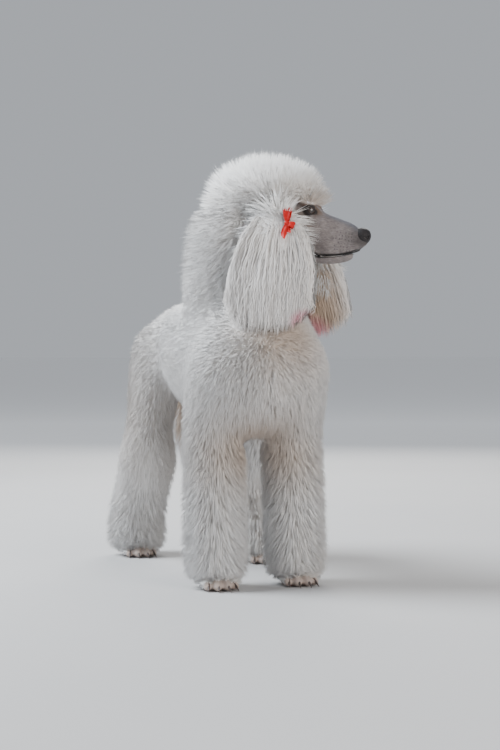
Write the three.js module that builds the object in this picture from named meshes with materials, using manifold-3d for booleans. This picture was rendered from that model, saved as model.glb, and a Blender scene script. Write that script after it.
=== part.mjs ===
// A standing standard poodle, life size, in millimetres, with its head turned to its left.
// The dog faces -Y, its left side is +X and the floor is z = 0. Places are measured from the floor
// between the forelegs, and the finished dog is then moved to stand over the middle of its own box.
import * as THREE from "three";
import { mergeVertices } from "three/addons/utils/BufferGeometryUtils.js";
import Module from "manifold-3d";

const wasm = await Module();
wasm.setup();

// Driving sizes.
const GAP = 0.3; // between touching pieces
const CORE_SHARE = 0.5; // how far the solid core under the clumps reaches through the coat
const CLUMP_PITCH = 104; // from clump to clump
const CLUMP_SIDES = 5;
const HEAD_AT = new THREE.Vector3(46, 8, 768); // middle of the skull
const HEAD_TURN = THREE.MathUtils.degToRad(58); // to the dog's left
const HEAD_NOD = THREE.MathUtils.degToRad(10); // nose down
const FORE_SPREAD = 88; // foreleg from the middle line
const FORE_FOOT_Y = { right: -26, left: -6 };
const HIND_FEET = { right: [-124, 566], left: [122, 372] }; // the left one stands further forward
const SIDES = { right: -1, left: 1 };
const ACROSS = new THREE.Vector3(1, 0, 0);

// Finishes: colour and roughness. Every mesh gets a material of its own.
const finish = (color, roughness) => () => new THREE.MeshStandardMaterial({ color, roughness, metalness: 0 });
const skinned = finish(0x8d8482, 0.75);
const coated = finish(0xe9e7e4, 0.9);
const leathery = finish(0x2a2423, 0.45);
const glassy = finish(0x1c120d, 0.08);
const horny = finish(0x4a4140, 0.4);
const satin = finish(0xc8100c, 0.5);
const toed = finish(0xb09c90, 0.8);

// A station of a body form: its middle, half width, half depth and the length of coat over it.
const station = (x, y, z, wide, deep, coat = 0) => ({ at: new THREE.Vector3(x, y, z), wide, deep, coat });

// Stations between the given ones, on smooth curves, with a rounded nose and tail added.
function smoothed(stations, steps, dome, bulge = 0.7) {
  const path = new THREE.CatmullRomCurve3(stations.map((s) => s.at), false, "centripetal");
  const sizes = new THREE.CatmullRomCurve3(
    stations.map((s) => new THREE.Vector3(s.wide, s.deep, s.coat)), false, "catmullrom", 0.5);
  const count = (stations.length - 1) * steps;
  const rings = [];
  for (let i = 0; i <= count; i += 1) {
    const at = path.getPoint(i / count);
    const size = sizes.getPoint(i / count);
    rings.push({ at, along: path.getTangent(i / count), wide: size.x, deep: size.y, coat: size.z });
  }
  const cap = (ring, sign) => dome.map((share) => {
    const reach = sign * share * Math.min(ring.wide, ring.deep) * bulge;
    const shrink = Math.sqrt(Math.max(0, 1 - share * share));
    return { ...ring, at: ring.at.clone().addScaledVector(ring.along, reach),
      wide: ring.wide * shrink, deep: ring.deep * shrink };
  });
  return [...cap(rings[0], -1).reverse(), ...rings, ...cap(rings.at(-1), 1)];
}

// The two directions square to a ring's own axis.
function axesOf(ring, across) {
  const side = across.clone().addScaledVector(ring.along, -across.dot(ring.along)).normalize();
  return { side, front: new THREE.Vector3().crossVectors(ring.along, side).normalize() };
}

// A closed body through oval rings. grow adds to every radius, boxy squares the ovals a little,
// and a ring's own tip is how far its closing point stands off.
function skinOver(rings, { sides = 14, across = ACROSS, grow = 0, boxy = 0 } = {}) {
  const points = [];
  const faces = [];
  rings.forEach((ring) => {
    const { side, front } = axesOf(ring, across);
    for (let k = 0; k < sides; k += 1) {
      const turn = (k / sides) * Math.PI * 2;
      const square = 1 + boxy * Math.sin(2 * turn) ** 2;
      points.push(ring.at.clone()
        .addScaledVector(side, Math.cos(turn) * square * (ring.wide + grow))
        .addScaledVector(front, Math.sin(turn) * square * (ring.deep + grow)));
    }
  });
  for (let r = 0; r + 1 < rings.length; r += 1) {
    for (let k = 0; k < sides; k += 1) {
      const [a, b] = [r * sides + k, r * sides + ((k + 1) % sides)];
      faces.push(a, b, b + sides, a, b + sides, a + sides);
    }
  }
  for (const [ring, start, order] of [[rings[0], 0, -1], [rings.at(-1), (rings.length - 1) * sides, 1]]) {
    const tip = points.push(ring.at.clone().addScaledVector(ring.along, order * (ring.tip ?? 0.5))) - 1;
    for (let k = 0; k < sides; k += 1) {
      const [a, b] = [start + k, start + ((k + 1) % sides)];
      faces.push(...(order > 0 ? [a, b, tip] : [b, a, tip]));
    }
  }
  return solidFrom(new THREE.BufferGeometry().setFromPoints(points).setIndex(faces));
}

// Any closed three.js geometry as a manifold solid.
function solidFrom(geometry) {
  geometry.deleteAttribute("normal");
  geometry.deleteAttribute("uv");
  const merged = mergeVertices(geometry, 1e-3);
  const solid = new wasm.Manifold(new wasm.Mesh({
    numProp: 3,
    vertProperties: new Float32Array(merged.attributes.position.array),
    triVerts: new Uint32Array(merged.index.array),
  }));
  return solid;
}

const joined = (solids) => wasm.Manifold.union(solids);
// True where two solids' boxes meet, so that only near neighbours are cut from each other.
function near(a, b) {
  const [p, q] = [a.boundingBox(), b.boundingBox()];
  return [0, 1, 2].every((k) => p.min[k] <= q.max[k] && q.min[k] <= p.max[k]);
}
function cutClear(solid, others) {
  const close = others.filter((other) => near(solid, other));
  return close.length ? wasm.Manifold.difference([solid, ...close]) : solid;
}
const largest = (solid) => solid.decompose().reduce((a, b) => (a.volume() > b.volume() ? a : b));

// Everything on one side of a plane, as a very large box.
function halfSpace(point, normal) {
  const size = 4000;
  const box = new THREE.BoxGeometry(size, size, size);
  box.translate(0, 0, size / 2);
  const turn = new THREE.Quaternion().setFromUnitVectors(new THREE.Vector3(0, 0, 1), normal);
  box.applyQuaternion(turn).translate(point.x, point.y, point.z);
  return solidFrom(box);
}

// The part of the dog's space inside some planes, each a point and a normal that faces into it.
function cell(planes, grow = 0) {
  return planes.map(([point, normal]) => {
    const inward = new THREE.Vector3(...normal).normalize();
    return halfSpace(new THREE.Vector3(...point).addScaledVector(inward, -grow), inward);
  }).reduce((a, b) => a.intersect(b));
}

// Rings out to a share of the coat's length: 0 is the skin and 1 the tips.
const coatedRings = (stations, share, steps = 1) => smoothed(stations.map((s) => (
  { ...s, wide: s.wide + s.coat * share, deep: s.deep + s.coat * share })), steps, [0.5, 0.85], 0.35);

// The head's own frame: forward, left and up from the middle of the skull.
const headMatrix = new THREE.Matrix4()
  .makeTranslation(HEAD_AT)
  .multiply(new THREE.Matrix4().makeRotationZ(HEAD_TURN))
  .multiply(new THREE.Matrix4().makeRotationX(HEAD_NOD));
const hangMatrix = new THREE.Matrix4()
  .makeTranslation(HEAD_AT)
  .multiply(new THREE.Matrix4().makeRotationZ(HEAD_TURN));
// A point given as left, forward and up of the skull's middle.
const headPoint = (left, forward, up, matrix = headMatrix) => new THREE.Vector3(left, -forward, up).applyMatrix4(matrix);
const headLeft = new THREE.Vector3(1, 0, 0).transformDirection(headMatrix);
const headStation = (forward, up, wide, deep, coat = 0) => {
  const p = headPoint(0, forward, up);
  return station(p.x, p.y, p.z, wide, deep, coat);
};

// Body forms.
const torsoStations = [
  station(0, -112, 456, 52, 68, 24),
  station(0, -88, 455, 82, 96, 25),
  station(0, -35, 455, 106, 122, 28),
  station(0, 55, 456, 110, 121, 28),
  station(0, 155, 463, 112, 111, 27),
  station(0, 255, 474, 110, 96, 27),
  station(0, 345, 487, 96, 80, 25),
  station(0, 425, 490, 92, 77, 27),
  station(0, 500, 482, 88, 76, 30),
  station(0, 535, 474, 70, 66, 30),
];
const neckStations = [
  station(0, 84, 560, 94, 100, 42),
  station(2, 78, 620, 92, 95, 52),
  station(5, 64, 680, 88, 88, 56),
  station(8, 50, 735, 80, 80, 60),
  station(22, 36, 790, 58, 58, 56),
];
const foreStations = (side, footY) => [
  station(side * 74, -14, 470, 54, 74, 22),
  station(side * 84, 8, 390, 45, 60, 27),
  station(side * 89, footY + 34, 320, 34, 41, 31),
  station(side * 89, footY + 26, 250, 27, 29, 35),
  station(side * 88, footY + 20, 150, 24, 25, 38),
  station(side * 88, footY + 14, 80, 25, 27, 38),
  station(side * FORE_SPREAD, footY + 10, 40, 25, 30, 33),
];
// Hip, thigh, stifle, shank, hock and foot, with the foot set where that leg stands.
function hindStations(side, [footX, footY]) {
  const back = footY - 372; // how far behind the forward stance this foot is
  const share = back / 194;
  const lean = (forward, behind) => forward + (behind - forward) * share;
  const out = Math.abs(footX);
  return [
    station(side * 70, 474, 480, 70, 90, 26),
    station(side * 96, lean(440, 464), 410, 50, 84, 28),
    station(side * 106, lean(408, 456), 345, 43, 68, 30),
    station(side * 110, lean(398, 466), 292, 36, 50, 33),
    station(side * 111, lean(418, 520), 235, 28, 36, 36),
    station(side * lean(114, 109), lean(436, 568), 180, 24, 30, 38),
    station(side * (out - 5), lean(412, 584), 115, 23, 26, 43),
    station(side * out, footY + 14, 60, 25, 28, 46),
    station(side * out, footY + 8, 42, 25, 30, 40),
  ];
}
// The tail hangs as a plume between the hind legs: a bone under long locks.
const tailStations = [
  station(2, 540, 528, 24, 24),
  station(4, 580, 495, 20, 20),
  station(7, 598, 440, 18, 18),
  station(8, 599, 370, 16, 16),
  station(8, 594, 300, 12, 12),
];
const TAIL_TIP = 216;
function tailLocks() {
  const bone = new THREE.CatmullRomCurve3(tailStations.map((s) => s.at));
  const locks = [];
  const rows = 3;
  for (let row = 0; row < rows; row += 1) {
    for (let i = 0; i < 3; i += 1) {
      const share = 0.22 + 0.62 * (row / (rows - 1));
      const turn = ((i + (row % 2) / 2) / 3) * Math.PI * 2;
      const out = new THREE.Vector3(Math.cos(turn), Math.sin(turn), 0);
      const start = bone.getPoint(share).addScaledVector(out, 7);
      const end = bone.getPoint(Math.min(1, share + 0.3)).addScaledVector(out, 44);
      end.z = Math.max(TAIL_TIP, end.z - 70) + chance(0, 16);
      const middle = start.clone().lerp(end, 0.45).addScaledVector(out, 9);
      locks.push(lock([start, middle, end], chance(28, 32), 12, out));
    }
  }
  return locks;
}
const topStations = [
  headStation(-118, 2, 10, 14, 42),
  headStation(-92, 14, 34, 34, 50),
  headStation(-40, 32, 52, 46, 52),
  headStation(2, 42, 54, 42, 50),
  headStation(36, 52, 42, 30, 46),
  headStation(60, 56, 24, 17, 42),
];

const coatForms = {
  torso: { stations: torsoStations, sides: 10, domes: [-1], boxy: 0.07 },
  neck: { stations: neckStations, sides: 10 },
  top: { stations: topStations, across: headLeft, sides: 10, domes: [1] },
};
for (const [name, side] of Object.entries(SIDES)) {
  coatForms["fore_" + name] = { stations: foreStations(side, FORE_FOOT_Y[name]), sides: 7 };
  coatForms["hind_" + name] = { stations: hindStations(side, HIND_FEET[name]), sides: 7 };
}

// Chance, the same on every run.
function chanceFrom(seed) {
  let state = seed;
  return (low, high) => {
    state = (state + 0x6d2b79f5) | 0;
    let t = Math.imul(state ^ (state >>> 15), 1 | state);
    t = (t + Math.imul(t ^ (t >>> 7), 61 | t)) ^ t;
    return low + (high - low) * (((t ^ (t >>> 14)) >>> 0) / 4294967296);
  };
}
const chance = chanceFrom(7);

// A rounded clump of curls from its root, sunk in the core, to its tip, leaning on its neighbours.
function clump(root, tip, radius, lie) {
  const reach = root.distanceTo(tip);
  const along = tip.clone().sub(root).normalize();
  const ring = (share, size, extra = {}) => ({
    at: root.clone().addScaledVector(along, reach * share).addScaledVector(lie, reach * 0.3 * share * share),
    along, wide: radius * size, deep: radius * size * 0.9, ...extra });
  const across = new THREE.Vector3(chance(-1, 1), chance(-1, 1), chance(-1, 1));
  const rings = [ring(0, 1), ring(0.68, 0.86, { tip: reach * 0.32 })];
  return skinOver(rings, { sides: CLUMP_SIDES, across });
}

// Whether a point lies inside a form out to a share of its coat.
function insideForm({ stations, across = ACROSS }, point, share) {
  const rings = coatedRings(stations, share, 3);
  const nearest = rings.reduce((a, b) => (a.at.distanceToSquared(point) < b.at.distanceToSquared(point) ? a : b));
  const { side, front } = axesOf(nearest, across);
  const offset = point.clone().sub(nearest.at);
  const [x, y, z] = [offset.dot(side) / nearest.wide, offset.dot(front) / nearest.deep, offset.dot(nearest.along)];
  return x * x + y * y < 1 && Math.abs(z) < 30;
}

// Clumps in staggered rows round a form, from the core out to the tips.
function clumpsOn(name) {
  const form = coatForms[name];
  const others = Object.keys(coatForms).filter((other) => other !== name).map((other) => coatForms[other]);
  const fine = coatedRings(form.stations, 0, 6);
  const clumps = [];
  let walked = CLUMP_PITCH / 2;
  let row = 0;
  fine.forEach((ring, i) => {
    if (i) walked += ring.at.distanceTo(fine[i - 1].at);
    if (walked < CLUMP_PITCH * 0.96) return;
    walked = 0;
    row += 1;
    const { side, front } = axesOf(ring, form.across ?? ACROSS);
    const around = Math.PI * (ring.wide + ring.deep + ring.coat * 1.2);
    const count = Math.max(4, Math.floor(around / CLUMP_PITCH));
    for (let k = 0; k < count; k += 1) {
      const turn = ((k + (row % 2) / 2 + chance(-0.12, 0.12)) / count) * Math.PI * 2;
      const square = 1 + (form.boxy ?? 0) * Math.sin(2 * turn) ** 2;
      const out = (share) => ring.at.clone()
        .addScaledVector(side, Math.cos(turn) * square * (ring.wide + ring.coat * share))
        .addScaledVector(front, Math.sin(turn) * square * (ring.deep + ring.coat * share));
      const middle = out(0.85);
      if (others.some((other) => insideForm(other, middle, 0.75))) continue;
      const radius = CLUMP_PITCH * chance(0.37, 0.41);
      clumps.push(clump(out(0.2), out(chance(0.98, 1.06)), radius, ring.along));
    }
  });
  // The open end of the chest, and the front and back of the topknot, are domes of their own.
  (form.domes ?? []).forEach((sign) => {
    const ring = sign < 0 ? fine[2] : fine.at(-3);
    const { side, front } = axesOf(ring, form.across ?? ACROSS);
    const away = ring.along.clone().multiplyScalar(sign);
    [[0, 0], [1, 0], [1, 0.25], [1, 0.5], [1, 0.75]].forEach(([far, turnShare]) => {
      const turn = turnShare * Math.PI * 2 + 0.5;
      const aim = away.clone()
        .addScaledVector(side, far * 0.9 * Math.cos(turn))
        .addScaledVector(front, far * 0.9 * Math.sin(turn)).normalize();
      const reach = (share) => ring.at.clone().addScaledVector(aim,
        far * 0.55 * (ring.wide + ring.deep) * 0.5 + ring.coat * share);
      clumps.push(clump(reach(0.2), reach(1), CLUMP_PITCH * 0.42, away));
    });
  });
  return clumps;
}

const coatSolids = Object.values(coatForms).map(({ stations, across, sides, boxy }) =>
  skinOver(coatedRings(stations, CORE_SHARE), { across, sides, boxy }));
const coatClumps = Object.keys(coatForms).flatMap(clumpsOn);

// Bare head: skull and muzzle, with the mouth cut in.
const HEAD_PROFILE = [
  // forward, up, half width, half height
  [-52, 4, 34, 32],
  [-34, 2, 47, 46],
  [0, -3, 53, 53],
  [40, -12, 49, 56],
  [74, -22, 42, 57],
  [98, -30, 36, 53],
  [125, -32, 31, 49],
  [153, -31, 27, 43],
  [178, -28, 23, 32],
  [193, -22, 18, 20],
];
const headRings = smoothed(
  HEAD_PROFILE.map(([forward, up, wide, deep]) => headStation(forward, up, wide, deep)), 1, [0.5, 0.85]);
const headCore = (grow = 0) => skinOver(headRings, { sides: 14, across: headLeft, boxy: 0.05, grow });

const MOUTH = [[106, -68], [126, -66], [152, -61], [175, -53], [206, -34]]; // forward, up
const MOUTH_GAPE = 2.2;
function mouthCut() {
  const outline = [...MOUTH, ...MOUTH.map(([f, u]) => [f, u - MOUTH_GAPE]).reverse().slice(0, -1)];
  const shape = new THREE.Shape(outline.map(([f, u]) => new THREE.Vector2(f, u)));
  const plate = new THREE.ExtrudeGeometry(shape, { depth: 120, bevelEnabled: false });
  // The outline is drawn forward and up, so the plate is stood across the head.
  const basis = new THREE.Matrix4().makeBasis(
    new THREE.Vector3(0, -1, 0), new THREE.Vector3(0, 0, 1), new THREE.Vector3(-1, 0, 0));
  plate.applyMatrix4(basis).translate(60, 0, 0).applyMatrix4(headMatrix);
  return solidFrom(plate);
}

// An ellipsoid in the head's frame.
function headBall(left, forward, up, radii, segments = 16) {
  const ball = new THREE.SphereGeometry(1, segments, Math.round(segments * 0.7));
  ball.scale(...radii).translate(left, -forward, up).applyMatrix4(headMatrix);
  return solidFrom(ball);
}

const EYE = { left: 33, forward: 80, up: 20, radius: 11.5 };
function lidRing(side) {
  const ring = new THREE.TorusGeometry(EYE.radius * 0.92, 3.2, 5, 12);
  ring.scale(1, 0.78, 1).rotateY(side * THREE.MathUtils.degToRad(68)).rotateZ(-side * THREE.MathUtils.degToRad(14));
  ring.rotateX(THREE.MathUtils.degToRad(90));
  ring.translate(side * (EYE.left + 5.5), -(EYE.forward + 2.5), EYE.up).applyMatrix4(headMatrix);
  return solidFrom(ring);
}
const eyeBall = (side, grow = 0) => {
  const radius = EYE.radius + grow;
  return headBall(side * EYE.left, EYE.forward, EYE.up, [radius, radius, radius], 10);
};

const nosePad = (grow = 0) => headBall(0, 192, -12, [17 + grow, 16 + grow, 15.5 + grow], 10);
const noseSolid = () => {
  const nostrils = Object.values(SIDES).map((side) => headBall(side * 9.5, 206, -12, [3.4, 7, 4.2], 8));
  return wasm.Manifold.difference([nosePad(), ...nostrils]);
};

// A flat, tapered lock of long hair along a bent path. Its flat side faces the given way.
function lock(points, wide, thick, facing) {
  const path = new THREE.CatmullRomCurve3(points);
  const rings = [0, 0.35, 0.7].map((share) => {
    const along = path.getTangent(share);
    const taper = 1 - 0.75 * share ** 2;
    return { at: path.getPoint(share), along, wide: wide * taper, deep: thick * taper,
      tip: share ? path.getPoint(1).distanceTo(path.getPoint(0.7)) : thick };
  });
  const across = new THREE.Vector3().crossVectors(facing, rings[1].along).normalize();
  return skinOver(rings, { sides: 4, across });
}

// Ears: a thin leather flap hanging from beside the eye over the neck, under long locks.
const EAR_ROOT_UP = 10;
const EAR_SWING = { right: 0, left: 18 };
const EAR_ROWS = [
  // up, outwards, forward, half length, half thickness
  [EAR_ROOT_UP, 62, 22, 26, 9],
  [-30, 88, 26, 40, 12],
  [-85, 108, 28, 54, 14],
  [-140, 118, 26, 62, 13],
  [-180, 122, 24, 56, 9],
];
const EAR_TIPS = { up: -235, out: 132, forward: 20, halfLength: 92, thick: 26 };
const hangLeft = new THREE.Vector3(1, 0, 0).transformDirection(hangMatrix);
const earPoint = (name, out, forward, up) => headPoint(
  SIDES[name] * out, forward + EAR_SWING[name] * (EAR_ROOT_UP - up) / 230, up, hangMatrix);
const earFlap = (name) => skinOver(smoothed(EAR_ROWS.map(([up, out, forward, long, thick]) => {
  const p = earPoint(name, out, forward, up);
  return station(p.x, p.y, p.z, thick, long);
}), 1, [0.6, 0.9]), { sides: 10, across: hangLeft });
// Locks spread like a fan over one face of the flap: layer -1 is the inner face and 1 the outer one.
function earLocks(name) {
  const locks = [];
  const rows = [
    // start up, count, layer, spread of the tips
    [-30, 2, 1, 0.5],
    [-110, 5, 0.9, 0.95],
    [-110, 3, -0.7, 0.9],
  ];
  rows.forEach(([startUp, count, layer, spread], row) => {
    for (let i = 0; i < count; i += 1) {
      const fan = ((i + 0.5) / count) * 2 - 1;
      const share = (EAR_ROOT_UP - startUp) / (EAR_ROOT_UP - EAR_TIPS.up);
      const flapHalf = 24 + 44 * share;
      const outAt = (t) => 62 + 62 * Math.sin(Math.min(1, t * 1.25) * Math.PI / 2);
      const start = earPoint(name, outAt(share) + layer * 4, 24 + fan * flapHalf * 0.8, startUp);
      const endUp = EAR_TIPS.up + 14 * fan * fan + chance(0, 14) + (row === 0 ? 62 : 0);
      const end = earPoint(name, EAR_TIPS.out + layer * EAR_TIPS.thick * chance(0.6, 0.9),
        EAR_TIPS.forward + fan * spread * EAR_TIPS.halfLength, endUp);
      const middle = start.clone().lerp(end, 0.5)
        .addScaledVector(hangLeft, SIDES[name] * layer * 9 + chance(-2, 2));
      locks.push(lock([start, middle, end], chance(25, 28), 10, hangLeft));
    }
  });
  return locks;
}
// Neighbours are cut clear of a plain shape round all of an ear.
const earCutter = (name) => skinOver(smoothed([...EAR_ROWS.slice(0, 3), [-150, 124, 24, 80, 30],
  [EAR_TIPS.up + 18, EAR_TIPS.out, EAR_TIPS.forward, EAR_TIPS.halfLength, EAR_TIPS.thick]]
  .map(([up, out, forward, long, thick]) => {
    const p = earPoint(name, out, forward, up);
    return station(p.x, p.y, p.z, thick + 20, long + 24);
  }), 1, [0.6, 0.9]), { sides: 10, across: hangLeft });

// Paws: a low pad with four toes side by side, and a claw in front of each.
const TOES = [
  // across, forward, radius
  [-27, 16, 9.5],
  [-10, 27, 10.5],
  [10, 27, 10.5],
  [27, 16, 9.5],
];
function pawBits(x, y, grow) {
  const palm = new THREE.SphereGeometry(1, 8, 5);
  palm.scale(33 + grow, 40 + grow, 40 + grow).translate(x, y + 6, 16);
  const toes = TOES.map(([across, forward, radius]) => {
    const toe = new THREE.SphereGeometry(1, 6, 4);
    toe.scale(radius + grow, radius * 2.1 + grow, radius * 1.15 + grow);
    toe.rotateZ(THREE.MathUtils.degToRad(across * 0.5)).translate(x + across, y - 8 - forward, radius);
    return solidFrom(toe);
  });
  return joined([solidFrom(palm), ...toes]);
}
const SOLE_CUT = 1.2; // taken off under the pads, so that each paw stands on small flats
const soleCut = halfSpace(new THREE.Vector3(0, 0, SOLE_CUT), new THREE.Vector3(0, 0, 1));
const pawSolid = (x, y) => pawBits(x, y, 0).intersect(soleCut).translate([0, 0, -SOLE_CUT]);
const pawCutter = (x, y) => pawBits(x, y, GAP).translate([0, 0, -SOLE_CUT]);
const CLAW = { radius: 4, length: 24, hook: 5, height: 9 };
function clawSolid(x, y, [across, forward, radius], grow = 0) {
  const claw = new THREE.ConeGeometry(CLAW.radius + grow, CLAW.length + 2 * grow, 5, 2);
  const bend = claw.attributes.position;
  for (let i = 0; i < bend.count; i += 1) {
    const along = bend.getY(i) / CLAW.length + 0.5;
    bend.setX(i, bend.getX(i) + CLAW.hook * along * along);
  }
  // The point is turned to face forward, curving down.
  claw.rotateZ(THREE.MathUtils.degToRad(-180 + across * 0.5));
  claw.rotateX(THREE.MathUtils.degToRad(16));
  claw.translate(x + across * 1.08, y - 11 - forward - radius * 1.75, CLAW.height);
  return solidFrom(claw);
}

// A ribbon bow beside the eye: two loops, two ends and a knot.
const BOW = { left: 79, forward: 50, up: -15, loop: 26, smallLoop: 17, end: 33 };
function bowSolid(side, grow = 0) {
  // A flat ribbon piece from the knot outwards, its half width following a wave or a taper.
  const ribbon = (long, thick, widthAt, turn) => {
    const rows = [0, 0.3, 0.7, 1].map((share) =>
      station(0, -4 * Math.sin(share * 3), share * long, widthAt(share), thick * (0.35 + Math.sin(share * 3))));
    return skinOver(smoothed(rows, 1, [0.7]), { sides: 5, grow }).rotate([0, turn, 0]);
  };
  const loopWidth = (share) => 3 + 5.5 * Math.sin(Math.PI * Math.min(1, share * 0.9 + 0.1)) ** 0.7;
  const endWidth = (share) => 2.5 + 4 * share;
  const bits = [
    ribbon(BOW.loop, 3.2, loopWidth, 12),
    ribbon(BOW.smallLoop, 3.2, loopWidth, -118),
    ribbon(BOW.end, 1.0, endWidth, 176),
    solidFrom(new THREE.SphereGeometry(5.5 + grow, 7, 5)),
  ];
  // Across the ribbon lies along the head, and its thickness points out from the cheek.
  const place = hangMatrix.clone()
    .multiply(new THREE.Matrix4().makeTranslation(side * BOW.left, -BOW.forward, BOW.up))
    .multiply(new THREE.Matrix4().makeRotationZ(side * Math.PI / 2));
  return joined(bits).transform(place.toArray());
}

// Planes that part the coat into its nodes: a point and the side that belongs to the node.
const HEAD_PLANE = [[0, 0, 742], [0, 0, 1]];
const NECK_PLANE = [[0, 10, 566], [0, -0.35, 0.94]];
const FACE_FRONT = 52; // forward of the skull's middle
const FACE_TOP = 36;
const ELBOW = 302;
const HOCK_TOP = 268;
const flipped = ([point, normal]) => [point, normal.map((n) => -n)];
const cells = { topknot: [HEAD_PLANE], neck: [NECK_PLANE, flipped(HEAD_PLANE)] };
for (const [name, side] of Object.entries(SIDES)) {
  const ownSide = [[0, 0, 0], [side, 0, 0]];
  cells["foreleg_" + name] = [[[0, 0, ELBOW], [0, 0, -1]], [[0, 200, 0], [0, -1, 0]], ownSide];
  cells["shank_" + name] = [[[0, 0, HOCK_TOP], [0, 0, -1]], [[0, 200, 0], [0, 1, 0]], ownSide];
  cells["thigh_" + name] = [[[side * 62, 470, 420], [side * 0.8, 0.05, -0.6]], [[0, 330, 0], [0, 1, 0]],
    [[0, 0, HOCK_TOP], [0, 0, 1]], ownSide];
}
cells.chest = [[[0, 128, 0], [0, -1, 0]]];

// The turned head is a group of its own on the dog.
const dog = new THREE.Group();
const headGroup = new THREE.Group();
headGroup.position.copy(HEAD_AT);
headGroup.rotation.set(HEAD_NOD, 0, HEAD_TURN, "ZXY");
dog.add(headGroup);
dog.updateMatrixWorld(true);

// A named mesh in a group, standing at the middle of its own box.
function addNode(name, solid, material, group = dog) {
  const { vertProperties, triVerts } = largest(solid).getMesh();
  const geometry = new THREE.BufferGeometry()
    .setAttribute("position", new THREE.BufferAttribute(new Float32Array(vertProperties), 3))
    .setIndex(new THREE.BufferAttribute(new Uint32Array(triVerts), 1));
  geometry.applyMatrix4(group.matrixWorld.clone().invert());
  geometry.computeBoundingBox();
  const middle = geometry.boundingBox.getCenter(new THREE.Vector3());
  geometry.translate(-middle.x, -middle.y, -middle.z).computeVertexNormals();
  const mesh = new THREE.Mesh(geometry, material());
  mesh.name = name;
  mesh.position.copy(middle);
  group.add(mesh);
}

// Bare pieces first. Each leaves a slightly larger solid behind, which later pieces are cut clear of.
const cutters = [];
function keep(name, solid, material, cutter, group = dog) {
  addNode(name, cutClear(solid, cutters), material, group);
  cutters.push(cutter);
}
for (const [name, side] of Object.entries(SIDES)) {
  keep("eye_" + name, eyeBall(side), glassy, eyeBall(side, GAP), headGroup);
  keep("bow_" + name, bowSolid(side), satin, bowSolid(side, GAP), headGroup);
}
keep("nose", noseSolid(), leathery, nosePad(GAP), headGroup);
const lidded = joined([headCore(), lidRing(-1), lidRing(1)]).subtract(mouthCut());
keep("head", lidded, skinned, headCore(GAP), headGroup);
for (const name of Object.keys(SIDES)) {
  keep("ear_" + name, joined([earFlap(name), ...earLocks(name)]), coated, earCutter(name), headGroup);
}
const tailBone = skinOver(smoothed(tailStations, 1, [0.7]), { sides: 8 });
const tailCutter = skinOver(smoothed(tailStations.map((s, i) => (
  { ...s, wide: s.wide + 22 + 9 * i, deep: s.deep + 22 + 9 * i })), 1, [0.7]), { sides: 8 });
const feet = { fore_right: [-FORE_SPREAD, FORE_FOOT_Y.right], fore_left: [FORE_SPREAD, FORE_FOOT_Y.left],
  hind_right: HIND_FEET.right, hind_left: HIND_FEET.left };
for (const [name, [x, y]] of Object.entries(feet)) {
  keep("paw_" + name, pawSolid(x, y), toed, pawCutter(x, y));
  TOES.forEach((toe, i) => {
    keep("claw_" + name + "_" + (i + 1), clawSolid(x, y, toe), horny, clawSolid(x, y, toe, GAP));
  });
}

// The face is clipped: no coat in front of the cheeks, under the brow or round the throat.
function clippedFace() {
  const box = new THREE.BoxGeometry(300, 260, 160);
  box.translate(0, -FACE_FRONT - 130, FACE_TOP - 80).applyMatrix4(headMatrix);
  return solidFrom(box);
}

// The coat is one body, cut clear of the bare pieces and the tail, then parted by thin cuts.
const rumpFace = cell([[[0, 546, 500], [0, 0.95, -0.2]]]);
keep("tail", joined([tailBone, ...tailLocks()]).intersect(rumpFace), coated, tailCutter);
let rest = cutClear(joined([...coatSolids, ...coatClumps]), [...cutters, clippedFace()]);
for (const [name, planes] of Object.entries(cells)) {
  addNode(name, rest.intersect(cell(planes, -GAP / 2)), coated);
  rest = rest.subtract(cell(planes, GAP / 2));
}
addNode("barrel", rest, coated);

// The origin is the point of the floor under the middle of the dog's box.
const box = new THREE.Box3().setFromObject(dog, true);
const middle = box.getCenter(new THREE.Vector3());
dog.position.set(-middle.x, -middle.y, -box.min.z);

export default dog;
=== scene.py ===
import math

import bmesh
import bpy
import numpy as np
from mathutils import Matrix, Vector, kdtree


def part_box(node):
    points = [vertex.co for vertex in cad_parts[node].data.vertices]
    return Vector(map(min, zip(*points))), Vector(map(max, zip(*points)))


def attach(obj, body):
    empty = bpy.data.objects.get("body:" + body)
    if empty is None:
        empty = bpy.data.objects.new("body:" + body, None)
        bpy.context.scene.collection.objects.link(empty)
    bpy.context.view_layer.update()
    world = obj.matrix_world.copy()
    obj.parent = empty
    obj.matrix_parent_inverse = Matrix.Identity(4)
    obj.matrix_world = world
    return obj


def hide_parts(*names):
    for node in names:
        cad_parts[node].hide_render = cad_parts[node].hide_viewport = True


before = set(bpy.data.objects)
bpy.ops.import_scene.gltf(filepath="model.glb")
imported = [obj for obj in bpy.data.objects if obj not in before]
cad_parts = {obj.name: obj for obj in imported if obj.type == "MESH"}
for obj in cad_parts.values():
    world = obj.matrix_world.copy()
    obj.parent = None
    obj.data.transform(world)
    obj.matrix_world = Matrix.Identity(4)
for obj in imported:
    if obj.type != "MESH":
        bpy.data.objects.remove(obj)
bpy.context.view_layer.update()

bpy.ops.object.select_all(action="DESELECT")

# A standing standard poodle. Lengths are in metres. The dog faces -Y and its left side is +X.
MM = 0.001
SIDES = {"right": -1, "left": 1}
HEAD_TURN = math.radians(58)
HEAD_NOD = math.radians(10)
EYE = (33, 80, 20)  # left, forward and up of the skull's middle
DENSITY = 1.0

# The head's frame is found from the two eyes.
TURN = Matrix.Rotation(HEAD_TURN, 3, "Z")
NOD = Matrix.Rotation(HEAD_NOD, 3, "X")


def middle_of(node):
    low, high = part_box(node)
    return (low + high) / 2


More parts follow.
